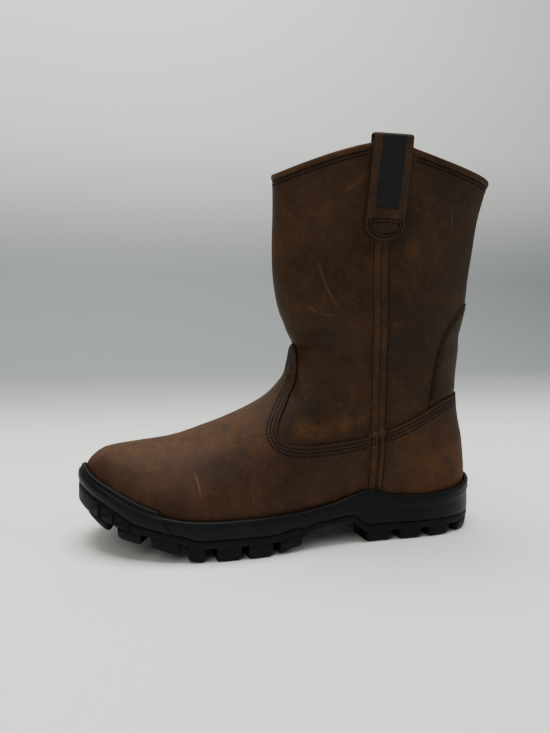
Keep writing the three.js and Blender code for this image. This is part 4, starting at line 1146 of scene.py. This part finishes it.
def strap_line(side, share, depth):
    """The middle of a strap's thickness, from its outer foot over the collar to its inner foot.

    Also returns the outward square to it.
    """
    across = share * LOOP_WIDTH
    outside, _, top = loop_point(side, across, depth, LOOP_LIFT + LOOP_THICK / 2)
    inner_lift = -(WALL + CLEARANCE + LOOP_THICK / 2)
    inside, _, _ = loop_point(side, across, dense(0, LOOP_INSIDE, 26), inner_lift)
    outside[-1, 2] = inside[0, 2] = top
    middle, spread = (outside[-1] + inside[0]) / 2, (outside[-1] - inside[0]) / 2
    arch = []
    for t in dense(0, math.pi, 21)[1:-1]:
        c, s = math.cos(t), math.sin(t)
        swell = math.copysign(abs(c) ** CROWN_SQUARE, c) * (1 + CROWN_SWELL * s)
        arch.append(middle + spread * swell + np.array([0, 0, LOOP_RISE * s**CROWN_SQUARE]))
    path = np.concatenate([outside, np.array(arch), inside])
    along = np.gradient(path, axis=0)
    square = unit(np.stack([np.zeros(len(path)), -along[:, 2], along[:, 1]], -1)) * -side
    return path, square


def sew_box(side, inset, top_drop):
    """Notes the stitched box of a strap's outer foot: a round foot with a straight top."""
    half = LOOP_WIDTH / 2 - inset
    deep = LOOP_DROP - inset - top_drop - BOX_CORNER
    bow, short = dense(0, math.pi, 60), dense(0, BOX_CORNER - 0.1, 6)
    across = np.concatenate([[-half] * 6, -half * np.cos(bow), [half] * 6])
    drops = top_drop + np.concatenate([short, BOX_CORNER + deep * np.sin(bow), short[::-1]])
    for places in ((across, drops), (dense(-half, half, 30), np.full(30, top_drop))):
        points, normals, _ = loop_point(side, *places, LOOP_LIFT + LOOP_THICK)
        sewn_free.append((points, normals, SHORT_STITCH))


def make_pull_loop(side, name):
    """A strap over the collar with a round foot outside, and its stitched box."""
    skins = {1: [], -1: []}
    for place, edge_round in both_ways(LOOP_ACROSS):
        foot = LOOP_DROP - (LOOP_WIDTH / 2) * (1 - math.sqrt(1 - (place * FOOT_ROUND) ** 2))
        depth = np.concatenate([[foot - up for up, _ in FOOT_TIPS], dense(foot - 2, 0, 40)])
        path, square = strap_line(side, place, depth)
        tips = np.ones(len(path))
        tips[: len(FOOT_TIPS)] = [share for _, share in FOOT_TIPS]
        tips[-len(END_TIPS) :] = END_TIPS
        for face in skins:
            lift = LOOP_THICK / 2 * edge_round * tips * face
            skins[face].append(path + square * lift[:, None])
    columns = sheet(np.array(skins[1]), np.array(skins[-1]))
    seam = np.zeros(columns.shape[:2])
    # Painted shade on the strap's side edges and on the face that lies toward the boot
    seam[:2] = seam[-2:] = LOOP_EDGE_SHADE
    seam[:, columns.shape[1] // 2 :] = LOOP_BACK_SHADE
    layers = {"seam": seam.ravel(), "rub": LOOP_RUB, "shade_patches": 0.0}
    solid(name, [shell(columns)], [trim_leather], None, layers)
    for inset, top_drop in LOOP_BOXES:
        sew_box(side, inset, top_drop)


LABEL_WIDTH, LABEL_DROP, LABEL_THICK, LABEL_LOW = 16.5, 46.5, 0.8, 0.05
LABEL_OVER, LABEL_BODY = 4, 0.8
LABEL_TIPS, LABEL_END = [(0, 0.1), (0.15, 0.75), (0.6, 1), (1.5, 0.9)], (0.9, 1, 0.3)


def make_label():
    """A plain woven tab on the outer strap, that starts on the strap's crown."""
    drops = np.concatenate([[LABEL_DROP - up for up, _ in LABEL_TIPS], dense(LABEL_DROP - 3, 0, 40)])
    count = len(drops) + LABEL_OVER
    tips = np.full(count, LABEL_BODY)
    tips[: len(LABEL_TIPS)] = [share for _, share in LABEL_TIPS]
    tips[-len(LABEL_END) :] = LABEL_END
    outer, inner = [], []
    for share, edge in both_ways(LABEL_ACROSS):
        path, square = strap_line(OUTER, share * LABEL_WIDTH / LOOP_WIDTH, drops)
        path, square = path[:count], square[:count]
        lift = LOOP_THICK / 2 + LABEL_LOW + LABEL_THICK * np.minimum(edge, tips)
        outer.append(path + square * lift[:, None])
        inner.append(path + square * (LOOP_THICK / 2 - LABEL_LOW))
    skins = [shell(sheet(np.array(outer), np.array(inner)))]
    solid("loop_label", skins, [label_weave])


make_upper()
front_stations = np.concatenate([dense(0.251, 0.5, 130), dense(0.5, 0.749, 130)[1:]])
panel("vamp", front_stations, vamp_edge_row, vamp_edge_points)
panel("heel_counter", dense(-0.249, 0.249, 170), counter_edge_row, counter_edge_points)
make_back_stay()
for side, word in ((OUTER, "outer"), (INNER, "inner")):
    make_side_strip(side, f"side_strip_{word}")
    make_pull_loop(side, f"pull_loop_{word}")
make_label()

# The sole: the same sizes as the solids
SIDE_MARGIN, TOE_MARGIN, HEEL_MARGIN = 7.0, 6.2, 5.5
HEEL_MARGIN_END, TOE_MARGIN_START = 0.12, 0.8
LIP_THICK, RIM_THICK, RIM_HEIGHT = 2.2, 1.8, 1.5
BUMPER_THICK, BUMPER_SEAT, BUMPER_OVERLAP, BUMPER_START = 1.8, 0.7, 5.0, 0.845
HEEL_LUG, FORE_LUG, ARCH_RAISE, PLATE, TOE_FILL = 7.5, 9.5, 16.0, 4.0, 3.0
SOLE_SPRING = 31.0
BREAST_FOOT, BREAST_TOP, FORE_START = 0.33, 0.365, 0.51
LUG_ROOT, LUG_TAPER, LUG_REACH, BLOCK_HALF = 1.5, 1.2, 24.0, 18.0
CUP_GAP = OVERLAY + CLEARANCE + 3 * CLEARANCE
lip_rise = gentle(
    [0, 0.03, 0.08, 0.17, 0.25, 0.32, 0.36, 0.42, 0.5, 0.6, 0.7, 0.78, 0.845, 1],
    [14, 12, 9.8, 8.2, 9.6, 15, 13.5, 10.5, 9.5, 10.6, 10.8, 9.6, 8.8, 17],
)
bumper_rise = gentle([0.82, 0.868, 0.902, 0.948, 0.986, 1], [11, 12, 13.5, 16.2, 17.8, 20])
ground_lift = gentle(
    [0, 0.03, 0.3, 0.51, 0.585, 0.757, 0.815, 0.88, 0.93, 0.965, 1],
    [0.07, 0, 0, 0.12, 0, 0, 0.2, 0.36, 0.48, 0.67, 1],
)
lug_fade = gentle([0.78, 0.84, 0.94, 0.965, 0.985, 1], [1, 0.8, 0.75, 0.6, 0.25, 0.08])
arch_raise = gentle([BREAST_TOP, 0.42, 0.48, FORE_START], [1, 1, 0.84, 0.58])
wrap_rise = gentle([0.9, 0.928, 0.962, 1], [0, 4, 6.3, 9])


def ground_at(share):
    """The height of the tread's ground line at a share of the length."""
    return SOLE_SPRING * ground_lift(share)


def plate_bottom(share):
    """The height of the outsole's underside between the lugs."""
    heel = ground_at(share) + HEEL_LUG
    breast = mix(HEEL_LUG, ARCH_RAISE, (share - BREAST_FOOT) / (BREAST_TOP - BREAST_FOOT))
    fore = ground_at(share) + FORE_LUG * lug_fade(share)
    where = [share <= BREAST_FOOT, share < BREAST_TOP, share < FORE_START]
    return np.select(where, [heel, breast, ARCH_RAISE * arch_raise(share)], fore)


def tray_at(share):
    """The height of the tray inside the outsole."""
    return np.minimum(plate_bottom(share) + PLATE, floor_at(share) - TOE_FILL)


def rim_at(share):
    """The height of the outsole's rim, which wraps up over the toe."""
    return tray_at(share) + RIM_HEIGHT + wrap_rise(share)


def share_of(turn):
    """The share of the length at a turn."""
    return (1 - np.cos(turn)) / 2


def plan_point(turn):
    """A point of the last's base outline, seen from above."""
    share = share_of(turn)
    side = np.where(np.mod(turn, 2 * np.pi) <= np.pi, OUTER, INNER)
    return np.stack([-share * LAST, swing(share) + side * half_width(share, side)], -1)


def margin_at(turn):
    """How far the sole stands out beyond the last's base outline."""
    share = share_of(turn)
    behind, ahead = ease(0, HEEL_MARGIN_END, share), ease(TOE_MARGIN_START, 1, share)
    return HEEL_MARGIN * (1 - behind) + TOE_MARGIN * ahead + SIDE_MARGIN * behind * (1 - ahead)


def sole_point(turn, out, height):
    """A point of the sole, out millimetres beyond the last's base outline."""
    turn, out, height = np.broadcast_arrays(turn, out, height)
    run = plan_point(turn + NORMAL_STEP) - plan_point(turn - NORMAL_STEP)
    square = unit(np.stack([-run[..., 1], run[..., 0]], -1))
    place = plan_point(turn) + square * out[..., None]
    return np.concatenate([place, height[..., None]], -1)


def cup_point(turn, height, gap):
    """A point at a height that stands a level gap off the upper's face."""
    turn, height, gap = np.broadcast_arrays(turn, height, gap)
    row = row_at_height(turn, height)
    normal = upper_normal(turn, row)
    scale = gap / np.maximum((normal[..., :2] ** 2).sum(-1), 1e-6)
    step = np.concatenate([normal[..., :2] * scale[..., None], np.zeros(scale.shape + (1,))], -1)
    place = upper_point(turn, row) + step
    place[..., 2] = height
    return place


def sole_turns(count, steps=(), even_sided=False):
    """Turns round the whole sole, evenly spaced along its edge, with extra ones where it steps.

    even_sided gives the inner side the outer side's turns, so that both meet on the middle line.
    """
    fine = dense(0, 2 * np.pi, 4001)
    length = lengths_along(plan_point(fine))
    even = np.interp(dense(0, length[-1], count + 1)[:-1], length, fine)
    extra = turn_of(list(steps))
    if not even_sided:
        return np.sort(np.concatenate([even, extra, 2 * np.pi - extra]))
    outer = np.sort(np.concatenate([even[(even > 0) & (even < np.pi - 0.001)], extra]))
    return np.concatenate([[0], outer, [np.pi], 2 * np.pi - outer[::-1]])


def on_middle(ring, share):
    """A ring's points moved onto the middle line, where its two sides meet."""
    place = ring.copy()
    place[:, 0] = (ring[:, 0] + ring[-np.arange(len(ring)), 0]) / 2
    place[:, 1] = swing(share)
    return place


def joined_over_middle(columns):
    """A ring skin whose profile starts and ends on the middle line, open there to be welded."""
    corners, quads, place_in_profile = shell(columns, True)
    kept = place_in_profile != columns.shape[1] - 1
    return corners, quads[kept], place_in_profile[kept]


SOLE_COLUMNS = 420
GROOVE_DEPTH = 0.9
# Down the cup's face between lip and shoulder: share of the way and swelling
CUP_SWELL = [(0.12, 0.1), (0.3, 0.35), (0.55, 0.55), (0.8, 0.4)]


def make_midsole():
    """The rubber cup: a rounded lip round the leather, a flared side and a groove round its heel."""
    steps = (BUMPER_START - 0.004, BUMPER_START + 0.001, BREAST_FOOT, BREAST_TOP)
    turn = sole_turns(SOLE_COLUMNS, steps)
    share, margin = share_of(turn), margin_at(turn)
    floor = floor_at(share)
    under = share > BUMPER_START
    lip = np.where(under, floor + bumper_rise(share) - BUMPER_OVERLAP, floor + lip_rise(share))
    thick = np.where(under, 0.6, LIP_THICK)
    out = np.where(under, margin - BUMPER_THICK - BUMPER_SEAT, margin)
    rim = rim_at(share) + CLEARANCE
    ledge = margin - RIM_THICK - CLEARANCE
    tall = lip - rim
    lip_out = cup_point(turn, lip, CUP_GAP + thick)
    shoulder = sole_point(turn, out - 0.5, rim + tall * 0.82)
    groove = ease(0.3, 0.2, share) * GROOVE_DEPTH
    step = rim + tall * mix(0.62, 0.7, ease(0.2, 0, share))

    def face(t, swell=0.0):
        """A ring of the cup's face between its lip and its shoulder."""
        push = sole_point(turn, swell, rim) - sole_point(turn, 0, rim)
        return mix(lip_out, shoulder, t) + push

    # Up the inside to the lip, as height and extra gap, and down the side, as place out and height
    inside = [(floor, 0), (mix(floor, lip, 0.5), 0), (lip - 0.9, 0), (lip - 0.25, 0.15)]
    inside += [(lip, 0.6 * np.minimum(thick, 1))]
    down = [(out - 0.3, rim + tall * 0.78), (out, rim + tall * 0.7), (out, step)]
    down += [(out - groove, step - 0.7), (out - groove * 0.5, rim + tall * 0.45), (out, rim + 1.7)]
    down += [(out - 0.35, rim + 0.9), (out - 0.5, rim), (ledge, rim)]
    down += [(ledge, tray_at(share) + CLEARANCE)]
    profile = [cup_point(turn, height, CUP_GAP + gap) for height, gap in inside]
    profile += [face(0.0) - np.array([0, 0, 0.15])]
    profile += [face(t, swell) for t, swell in CUP_SWELL]
    profile += [sole_point(turn, outward, height) for outward, height in down]
    skins = [shell(np.stack(profile, 1), True)]
    solid("midsole", skins, [sole_rubber])


BUMPER_SLANT, SLANT_FADE, BUMPER_PROUD = 0.028, 0.035, 1.1
# How much the guard's face is taken in at its last two columns, at each end
BUMPER_ENDS = [1.2, 0.3, 0.0]
# Up the guard's face: share of its height and millimetres out
BUMPER_FACE = [
    (0.0, -0.5), (0.06, 0.0), (0.3, 0.4), (0.5, 0.35), (0.64, -0.2), (0.74, -1.1), (0.83, -2.4),
]


def make_toe_bumper():
    """The raised guard round the toe, with a rounded top edge and a slanting rear end."""
    even = sole_turns(SOLE_COLUMNS)
    turn = even[share_of(even) > BUMPER_START + 0.004]
    ends = turn_of([BUMPER_START + 0.001, BUMPER_START + 0.0022])
    turn = np.concatenate([ends, turn, 2 * np.pi - ends[::-1]])
    away = np.minimum(np.arange(len(turn)), np.arange(len(turn))[::-1])
    end = np.interp(away, [0, 1, 2], BUMPER_ENDS)
    fade = np.clip(1 - (share_of(turn) - BUMPER_START) / SLANT_FADE, 0, 1)

    def along(t):
        """The turn, margin, foot, top and share of the length at a share of the guard's height."""
        share = share_of(turn) - BUMPER_SLANT * (1 - t) * fade
        here = on_side(turn_of(share), turn <= np.pi)
        top = floor_at(share) + bumper_rise(share)
        return here, margin_at(here), rim_at(share) + CLEARANCE, top, share

    def outer(t, out):
        """A column of the face, at a share of the height and out from the sole's edge."""
        here, margin, rim, top, _ = along(t)
        return sole_point(here, margin + out + BUMPER_PROUD * fade - end, mix(rim, top, t))

    def lip(t, gap):
        """One of the top, which follows the upper at a gap."""
        here, _, rim, top, _ = along(t)
        return cup_point(here, mix(rim, top, t), CUP_GAP + gap)

    def inner(t, inset):
        """One of the back, against the midsole."""
        here, margin, rim, top, share = along(t)
        behind = share < BUMPER_START + 0.0005
        out = np.where(behind, margin + 0.05, margin - BUMPER_THICK - inset)
        return sole_point(here, out, mix(rim, top, t))

    _, _, rim, top, _ = along(1.0)
    shelf = 1 - BUMPER_OVERLAP / (top - rim)
    front = [outer(t, out) for t, out in BUMPER_FACE]
    front += [lip(0.93, 2.3 - end), lip(0.985, 1.7 - 0.7 * end), lip(1.0, 0.9), lip(0.97, CLEARANCE)]
    back = [lip(shelf + 0.03, CLEARANCE), lip(shelf + 0.03, 1.2), inner(shelf * 0.75, 0.3)]
    back += [inner(t, 0) for t in (shelf * 0.5, shelf * 0.35, shelf * 0.2, 0.1, 0.05, 0.0)]
    skins = [shell(np.stack(front + back, 1))]
    solid("toe_bumper", skins, [sole_rubber])


# Along a lug: how far into it a column stands, as a share, and how far its end bevel has taken it in
LUG_COLUMNS = [
    (0.0, 1.0), (0.03, 0.45), (0.09, 0.1), (0.2, 0), (0.5, 0), (0.8, 0), (0.91, 0.1), (0.97, 0.45),
    (1.0, 1.0),
]
BEVEL = 1.1


def edge_lug(start, end, side, inward):
    """A bevelled block along the edge of the tread, between two shares of the length."""
    places, taken = np.array(LUG_COLUMNS).T
    turn = on_side(mix(turn_of(start), turn_of(end), places), side == OUTER)
    trim = taken * BEVEL
    near = share_of(turn)
    outside, inside = margin_at(turn), margin_at(turn) - inward

    def corner(out, height_at, lift=0.0):
        """A line along the lug, out from the outline and at the height of a level plus a lift."""
        place = sole_point(turn, out, 0.0)
        place[:, 2] = height_at(np.clip(np.minimum(-place[:, 0] / LAST, near), 0, 1)) + lift
        return place

    root = lambda share: plate_bottom(share) + LUG_ROOT
    halfway = lambda share: mix(root(share), ground_at(share), 0.45)
    # The bevelled foot: millimetres in from the taper's start or end, and lift off the ground line
    foot = [(LUG_TAPER * 0.6 + trim * 0.7, 1.3 + trim * 0.5), (LUG_TAPER + 0.7 + trim, 0.25 + trim)]
    foot += [(LUG_TAPER + 1.8 + trim, trim)]
    profile = [corner(outside - 0.1, root), corner(outside - 0.1 - trim * 0.3, halfway)]
    profile += [corner(outside - inset, ground_at, lift) for inset, lift in foot]
    profile += [corner(inside + inset, ground_at, lift) for inset, lift in foot[::-1]]
    profile += [corner(inside + 0.2, halfway), corner(inside, root)]
    return shell(np.stack(profile, 1))


def middle_block(at, half, depth, point):
    """A chevron in the middle of the tread, with its foot bevelled."""
    front, back = at + depth / 2, at - depth / 2
    rear = [(back, -half), (back + point, 0), (back, half)]
    outline = np.array(rear + [(front, half), (front + point, 0), (front, -half)])
    centre = outline.mean(0)
    levels = [(0.9, ground_at), (1.0, lambda x: ground_at(x) + 0.8)]
    levels += [(1.0, lambda x: plate_bottom(x) + LUG_ROOT)]
    rings = []
    for shrink, height_at in levels:
        share, y = (centre + (outline - centre) * shrink).T
        rings.append(np.stack([-share * LAST, swing(at) + y, height_at(share)], -1))
    return shell(np.array(rings))


# Wedges on the front of the tread: from and to, as shares of the length
WEDGES = [(0.905, 0.932), (0.938, 0.958), (0.964, 0.98)]
WEDGE_PROUD = 0.9


def front_wedge(start, end, side):
    """A low raised wedge on the tread's rim in front, tall at its rear end."""
    along = dense(0, 1, 7)
    turn = on_side(mix(turn_of(start), turn_of(end), along), side == OUTER)
    share, margin = share_of(turn), margin_at(turn)
    low = plate_bottom(share) + 0.5
    high = mix(low, rim_at(share) - 0.6, mix(0.95, 0.35, along))
    face = [(-0.4, low - 0.2), (WEDGE_PROUD, low + 0.5), (WEDGE_PROUD, high - 0.8), (-0.4, high)]
    return shell(np.stack([sole_point(turn, margin + out, height) for out, height in face], 1))


# from, to, reach inwards as a share of LUG_REACH
EDGE_LUGS = [
    (0.51, 0.568, 0.92), (0.588, 0.645, 1), (0.663, 0.72, 0.92), (0.747, 0.785, 1),
    (0.803, 0.862, 0.92), (0.884, 0.93, 0.83), (0.95, 0.985, 0.33), (0.257, 0.326, 1),
    (0.174, 0.233, 0.92), (0.092, 0.151, 0.92), (0.02, 0.063, 0.75),
]
# at, half width as a share of BLOCK_HALF, depth, point
BLOCKS = [
    (0.57, 0.72, 0.04, 0.018), (0.645, 0.89, 0.042, 0.018), (0.72, 1, 0.042, 0.018),
    (0.795, 1, 0.042, 0.018), (0.865, 0.78, 0.036, 0.016),
]
# How near the middle line the rings lie that close the tray and the underside
CLOSING = (0.66, 0.33, 0.0)


def make_outsole():
    """The rubber tread: a shallow tray with a rim, over the lugs, blocks and wedges."""
    steps = (BREAST_FOOT, BREAST_TOP, FORE_START - 0.001, FORE_START, 0.9)
    turn = sole_turns(SOLE_COLUMNS, steps, True)
    share, margin = share_of(turn), margin_at(turn)
    rim, bottom = rim_at(share), plate_bottom(share)
    root = bottom + LUG_ROOT
    wrapped = ease(0.89, 0.93, share)
    # From the tray over the rim and down the side, as place out and height
    over = [(margin - RIM_THICK, tray_at(share)), (margin - RIM_THICK, rim), (margin - 0.9, rim)]
    over += [(margin - 0.45 + 0.2 * wrapped, rim - 0.35)]
    over += [(margin - 0.2 + 0.25 * wrapped, mix(rim, root, 0.3)), (margin, mix(rim, root, 0.75))]
    over += [(margin, root - 0.2), (margin - 0.35, bottom + 0.45), (margin - 1.3, bottom)]
    rings = [sole_point(turn, outward, height) for outward, height in over]

    def towards_middle(ring, height_at):
        """Rings from this one to the middle line, at the heights of a level of the sole."""
        closing = []
        for shrink in CLOSING:
            place = mix(on_middle(ring, share), ring, shrink)
            place[:, 2] = height_at(share)
            closing.append(place)
        return closing

    tray, underside = towards_middle(rings[0], tray_at), towards_middle(rings[-1], plate_bottom)
    parts = [joined_over_middle(np.stack(tray[::-1] + rings + underside, 1))]
    for side in (OUTER, INNER):
        parts += [edge_lug(start, end, side, inward * LUG_REACH) for start, end, inward in EDGE_LUGS]
        parts += [front_wedge(start, end, side) for start, end in WEDGES]
    parts += [middle_block(at, half * BLOCK_HALF, depth, point) for at, half, depth, point in BLOCKS]
    solid("outsole", parts, [tread_rubber], weld=True)


INSOLE_COLUMNS, INSOLE_THICK, INSOLE_IN = 160, 4.0, 12
# Up the insole's rounded edge: millimetres in from it and height
INSOLE_EDGE = [
    (INSOLE_IN, INSOLE_THICK), (1.4, INSOLE_THICK), (0.4, 3.6), (0, 2.6), (0, 0), (INSOLE_IN, 0),
]


def make_insole():
    """The slab inside the upper, with its top edge rounded."""
    turn = sole_turns(INSOLE_COLUMNS, (), True)
    share = share_of(turn)
    floor, edge = floor_at(share) + CLEARANCE, -(WALL + 3 * CLEARANCE)
    rings = [sole_point(turn, edge - inset, floor + height) for inset, height in INSOLE_EDGE]
    profile = np.stack([on_middle(rings[0], share), *rings, on_middle(rings[-1], share)], 1)
    solid("insole", [joined_over_middle(profile)], [insole_cloth], weld=True)


make_midsole()
make_toe_bumper()
make_outsole()
make_insole()

# Stitches
STITCH_LENGTH, STITCH_WIDTH, THREAD_SINK = 1.95, 0.95, 0.12
THREAD_SEGMENTS, THREAD_RINGS = 8, 5


def read_along(at, length, values):
    """Rows of values, given along a line, read at other lengths along it."""
    return np.stack([np.interp(at, length, column) for column in values.T], -1)


def evenly(points, normals, pitch):
    """Places at an even pitch along a line: points, directions along it and outward normals."""
    length = lengths_along(points)
    at = np.arange(pitch / 2, length[-1], pitch)
    here = read_along(at, length, points)
    return here, unit(np.gradient(here, axis=0)), unit(read_along(at, length, normals))


def spaced(stations, rows, pitch, lift):
    """The same for a line on the upper given by stations and rows, lifted off it."""
    points, normal = face_and_normal(stations, rows)
    points = points + normal * folds(points)[:, None]
    length = lengths_along(points)
    at = np.arange(pitch / 2, length[-1], pitch)
    _, normal = face_and_normal(*read_along(at, length, np.stack([stations, rows], -1)).T)
    here = read_along(at, length, points)
    return here + normal * lift, unit(np.gradient(here, axis=0)), normal


def stitch_tree():
    """Geometry Nodes that put one short thread on every place, along it and flat on the leather."""
    tree = bpy.data.node_groups.new("stitches", "GeometryNodeTree")
    inputs = [("Geometry", "Geometry"), ("Stitch length", "Float"), ("Stitch width", "Float")]
    for label, kind in (*inputs, ("Finish", "Material")):
        tree.interface.new_socket(label, in_out="INPUT", socket_type="NodeSocket" + kind)
    tree.interface.new_socket("Geometry", in_out="OUTPUT", socket_type="NodeSocketGeometry")

    def node(kind, sockets, **settings):
        return add_node(tree, kind, settings, sockets).outputs

    def direction(name):
        settings = {"data_type": "FLOAT_VECTOR"}
        return node("GeometryNodeInputNamedAttribute", {"Name": name}, **settings)["Attribute"]

    given = node("NodeGroupInput", {})
    length, width = given["Stitch length"], given["Stitch width"]
    points = node("GeometryNodeMeshToPoints", {"Mesh": given["Geometry"]})[0]
    align = "FunctionNodeAlignRotationToVector"
    turn = node(align, {"Vector": direction("along")}, axis="X")[0]
    flat = {"Rotation": turn, "Vector": direction("outward")}
    flat = node(align, flat, axis="Z", pivot_axis="X")[0]
    ball = {"Segments": THREAD_SEGMENTS, "Rings": THREAD_RINGS, "Radius": 0.5}
    ball = node("GeometryNodeMeshUVSphere", ball)["Mesh"]
    scale = node("ShaderNodeCombineXYZ", {0: length, 1: width, 2: width})[0]
    put = {"Points": points, "Instance": ball, "Rotation": flat, "Scale": scale}
    threads = node("GeometryNodeInstanceOnPoints", put)[0]
    threads = node("GeometryNodeRealizeInstances", {"Geometry": threads})[0]
    threads = node("GeometryNodeSetShadeSmooth", {"Geometry": threads})[0]
    threads = {"Geometry": threads, "Material": given["Finish"]}
    threads = node("GeometryNodeSetMaterial", threads)[0]
    node("NodeGroupOutput", {"Geometry": threads})
    return tree


def make_stitches(name, lines):
    """All the threads as one piece, on places that carry their directions."""
    here = np.concatenate([line[0] for line in lines])
    mesh = bpy.data.meshes.new(name + "_places")
    mesh.from_pydata(((here + PLACE) * METRE).tolist(), [], [])
    for key, column in (("along", 1), ("outward", 2)):
        layer = mesh.attributes.new(key, "FLOAT_VECTOR", "POINT")
        values = np.concatenate([line[column] for line in lines])
        layer.data.foreach_set("vector", values.astype(np.float32).ravel())
    places = bpy.data.objects.new(name + "_places", mesh)
    bpy.context.scene.collection.objects.link(places)
    tree = stitch_tree()
    modifier = places.modifiers.new("stitches", "NODES")
    modifier.node_group = tree
    sockets = {i.name: i.identifier for i in tree.interface.items_tree if i.in_out == "INPUT"}
    modifier[sockets["Stitch length"]] = STITCH_LENGTH * METRE
    modifier[sockets["Stitch width"]] = STITCH_WIDTH * METRE
    modifier[sockets["Finish"]] = thread
    graph = bpy.context.evaluated_depsgraph_get()
    result = bpy.data.meshes.new_from_object(places.evaluated_get(graph), depsgraph=graph)
    result.name = name
    places.modifiers.clear()
    bpy.data.objects.remove(places)
    settle(bpy.data.objects.new(name, result))


lines = [spaced(u, r, pitch, lift - THREAD_SINK) for u, r, pitch, lift in sewn]
lines += [evenly(*line) for line in sewn_free]
make_stitches("stitches", lines)

# Floor and light, in metres and watts
FLOOR_HALF, FLOOR_FRONT, FLOOR_DROP = 9.0, -6.0, -0.0002
BEND_START, BEND = 0.8, 0.5
FLOOR_TONE, SHADE_TONE, FLOOR_ROUGH = paint(229, 230, 225), paint(126, 132, 131), 0.75
# How far the floor and the backdrop take the darker tone, by distance back and up along them
SHADE = [
    (0.27, 0), (0.45, 0.4), (0.6, 0.75), (0.8, 0.95), (1.35, 1), (1.5, 0.9), (1.62, 0.6), (1.8, 0.1),
    (2, 0),
]
# name, place, what it is aimed at, width, power, tint
LIGHTS = [
    ("top", (-0.1, 0.0, 1.7), (-0.05, 0, 0.1), 1.5, 44, (1, 0.99, 0.97)),
    ("front", (-0.9, -1.1, 1.1), (0, 0, 0.12), 1.0, 7, (1, 0.98, 0.95)),
    ("backdrop", (0, 0.35, 1.7), (0, 1.3, 0.75), 0.8, 11, (1, 1, 1)),
    ("side", (1.3, -0.6, 0.9), (0, 0, 0.15), 1.0, 4, (0.95, 0.98, 1)),
]
SKY_TINT, SKY_STRENGTH = (0.75, 0.79, 0.82, 1), 0.3


def make_floor():
    """A pale floor that curves up into a backdrop behind the boot, dimmer where it bends."""
    profile = [(FLOOR_FRONT, 0.0)] + [(y, 0.0) for y in dense(0.2, BEND_START, 7)]
    for t in dense(0, math.pi / 2, 12)[1:]:
        profile.append((BEND_START + BEND * math.sin(t), BEND - BEND * math.cos(t)))
    profile += [(BEND_START + BEND, z) for z in (0.75, 1.0, 3.0)]
    shade = np.interp([y + z for y, z in profile], *zip(*SHADE))
    vertices = [(x, y, z) for y, z in profile for x in (-FLOOR_HALF, FLOOR_HALF)]
    faces = [(2 * i, 2 * i + 1, 2 * i + 3, 2 * i + 2) for i in range(len(profile) - 1)]
    mesh = bpy.data.meshes.new("floor")
    mesh.from_pydata(vertices, [], faces)
    mesh.polygons.foreach_set("use_smooth", [True] * len(faces))
    layer = mesh.attributes.new("shade", "FLOAT", "POINT")
    layer.data.foreach_set("value", np.repeat(shade, 2).astype(np.float32))
    f = Finish("pale_floor")
    mesh.materials.append(f.surface(f.blend(FLOOR_TONE, SHADE_TONE, f.layer("shade")), FLOOR_ROUGH))
    floor = bpy.data.objects.new("floor", mesh)
    floor.location.z = FLOOR_DROP
    bpy.context.scene.collection.objects.link(floor)


def add_light(name, place, aim, width, power, tint):
    """A round lamp aimed at a place."""
    data = bpy.data.lights.new(name, "AREA")
    data.shape, data.size, data.energy, data.color = "DISK", width, power, tint
    lamp = bpy.data.objects.new(name, data)
    lamp.location = place
    direction = Vector(aim) - Vector(place)
    lamp.rotation_euler = direction.to_track_quat("-Z", "Y").to_euler()
    bpy.context.scene.collection.objects.link(lamp)


make_floor()
for light in LIGHTS:
    add_light(*light)
world = bpy.data.worlds.new("studio")
world.use_nodes = True
sky = world.node_tree.nodes["Background"].inputs
sky["Color"].default_value, sky["Strength"].default_value = SKY_TINT, SKY_STRENGTH
bpy.context.scene.world = world
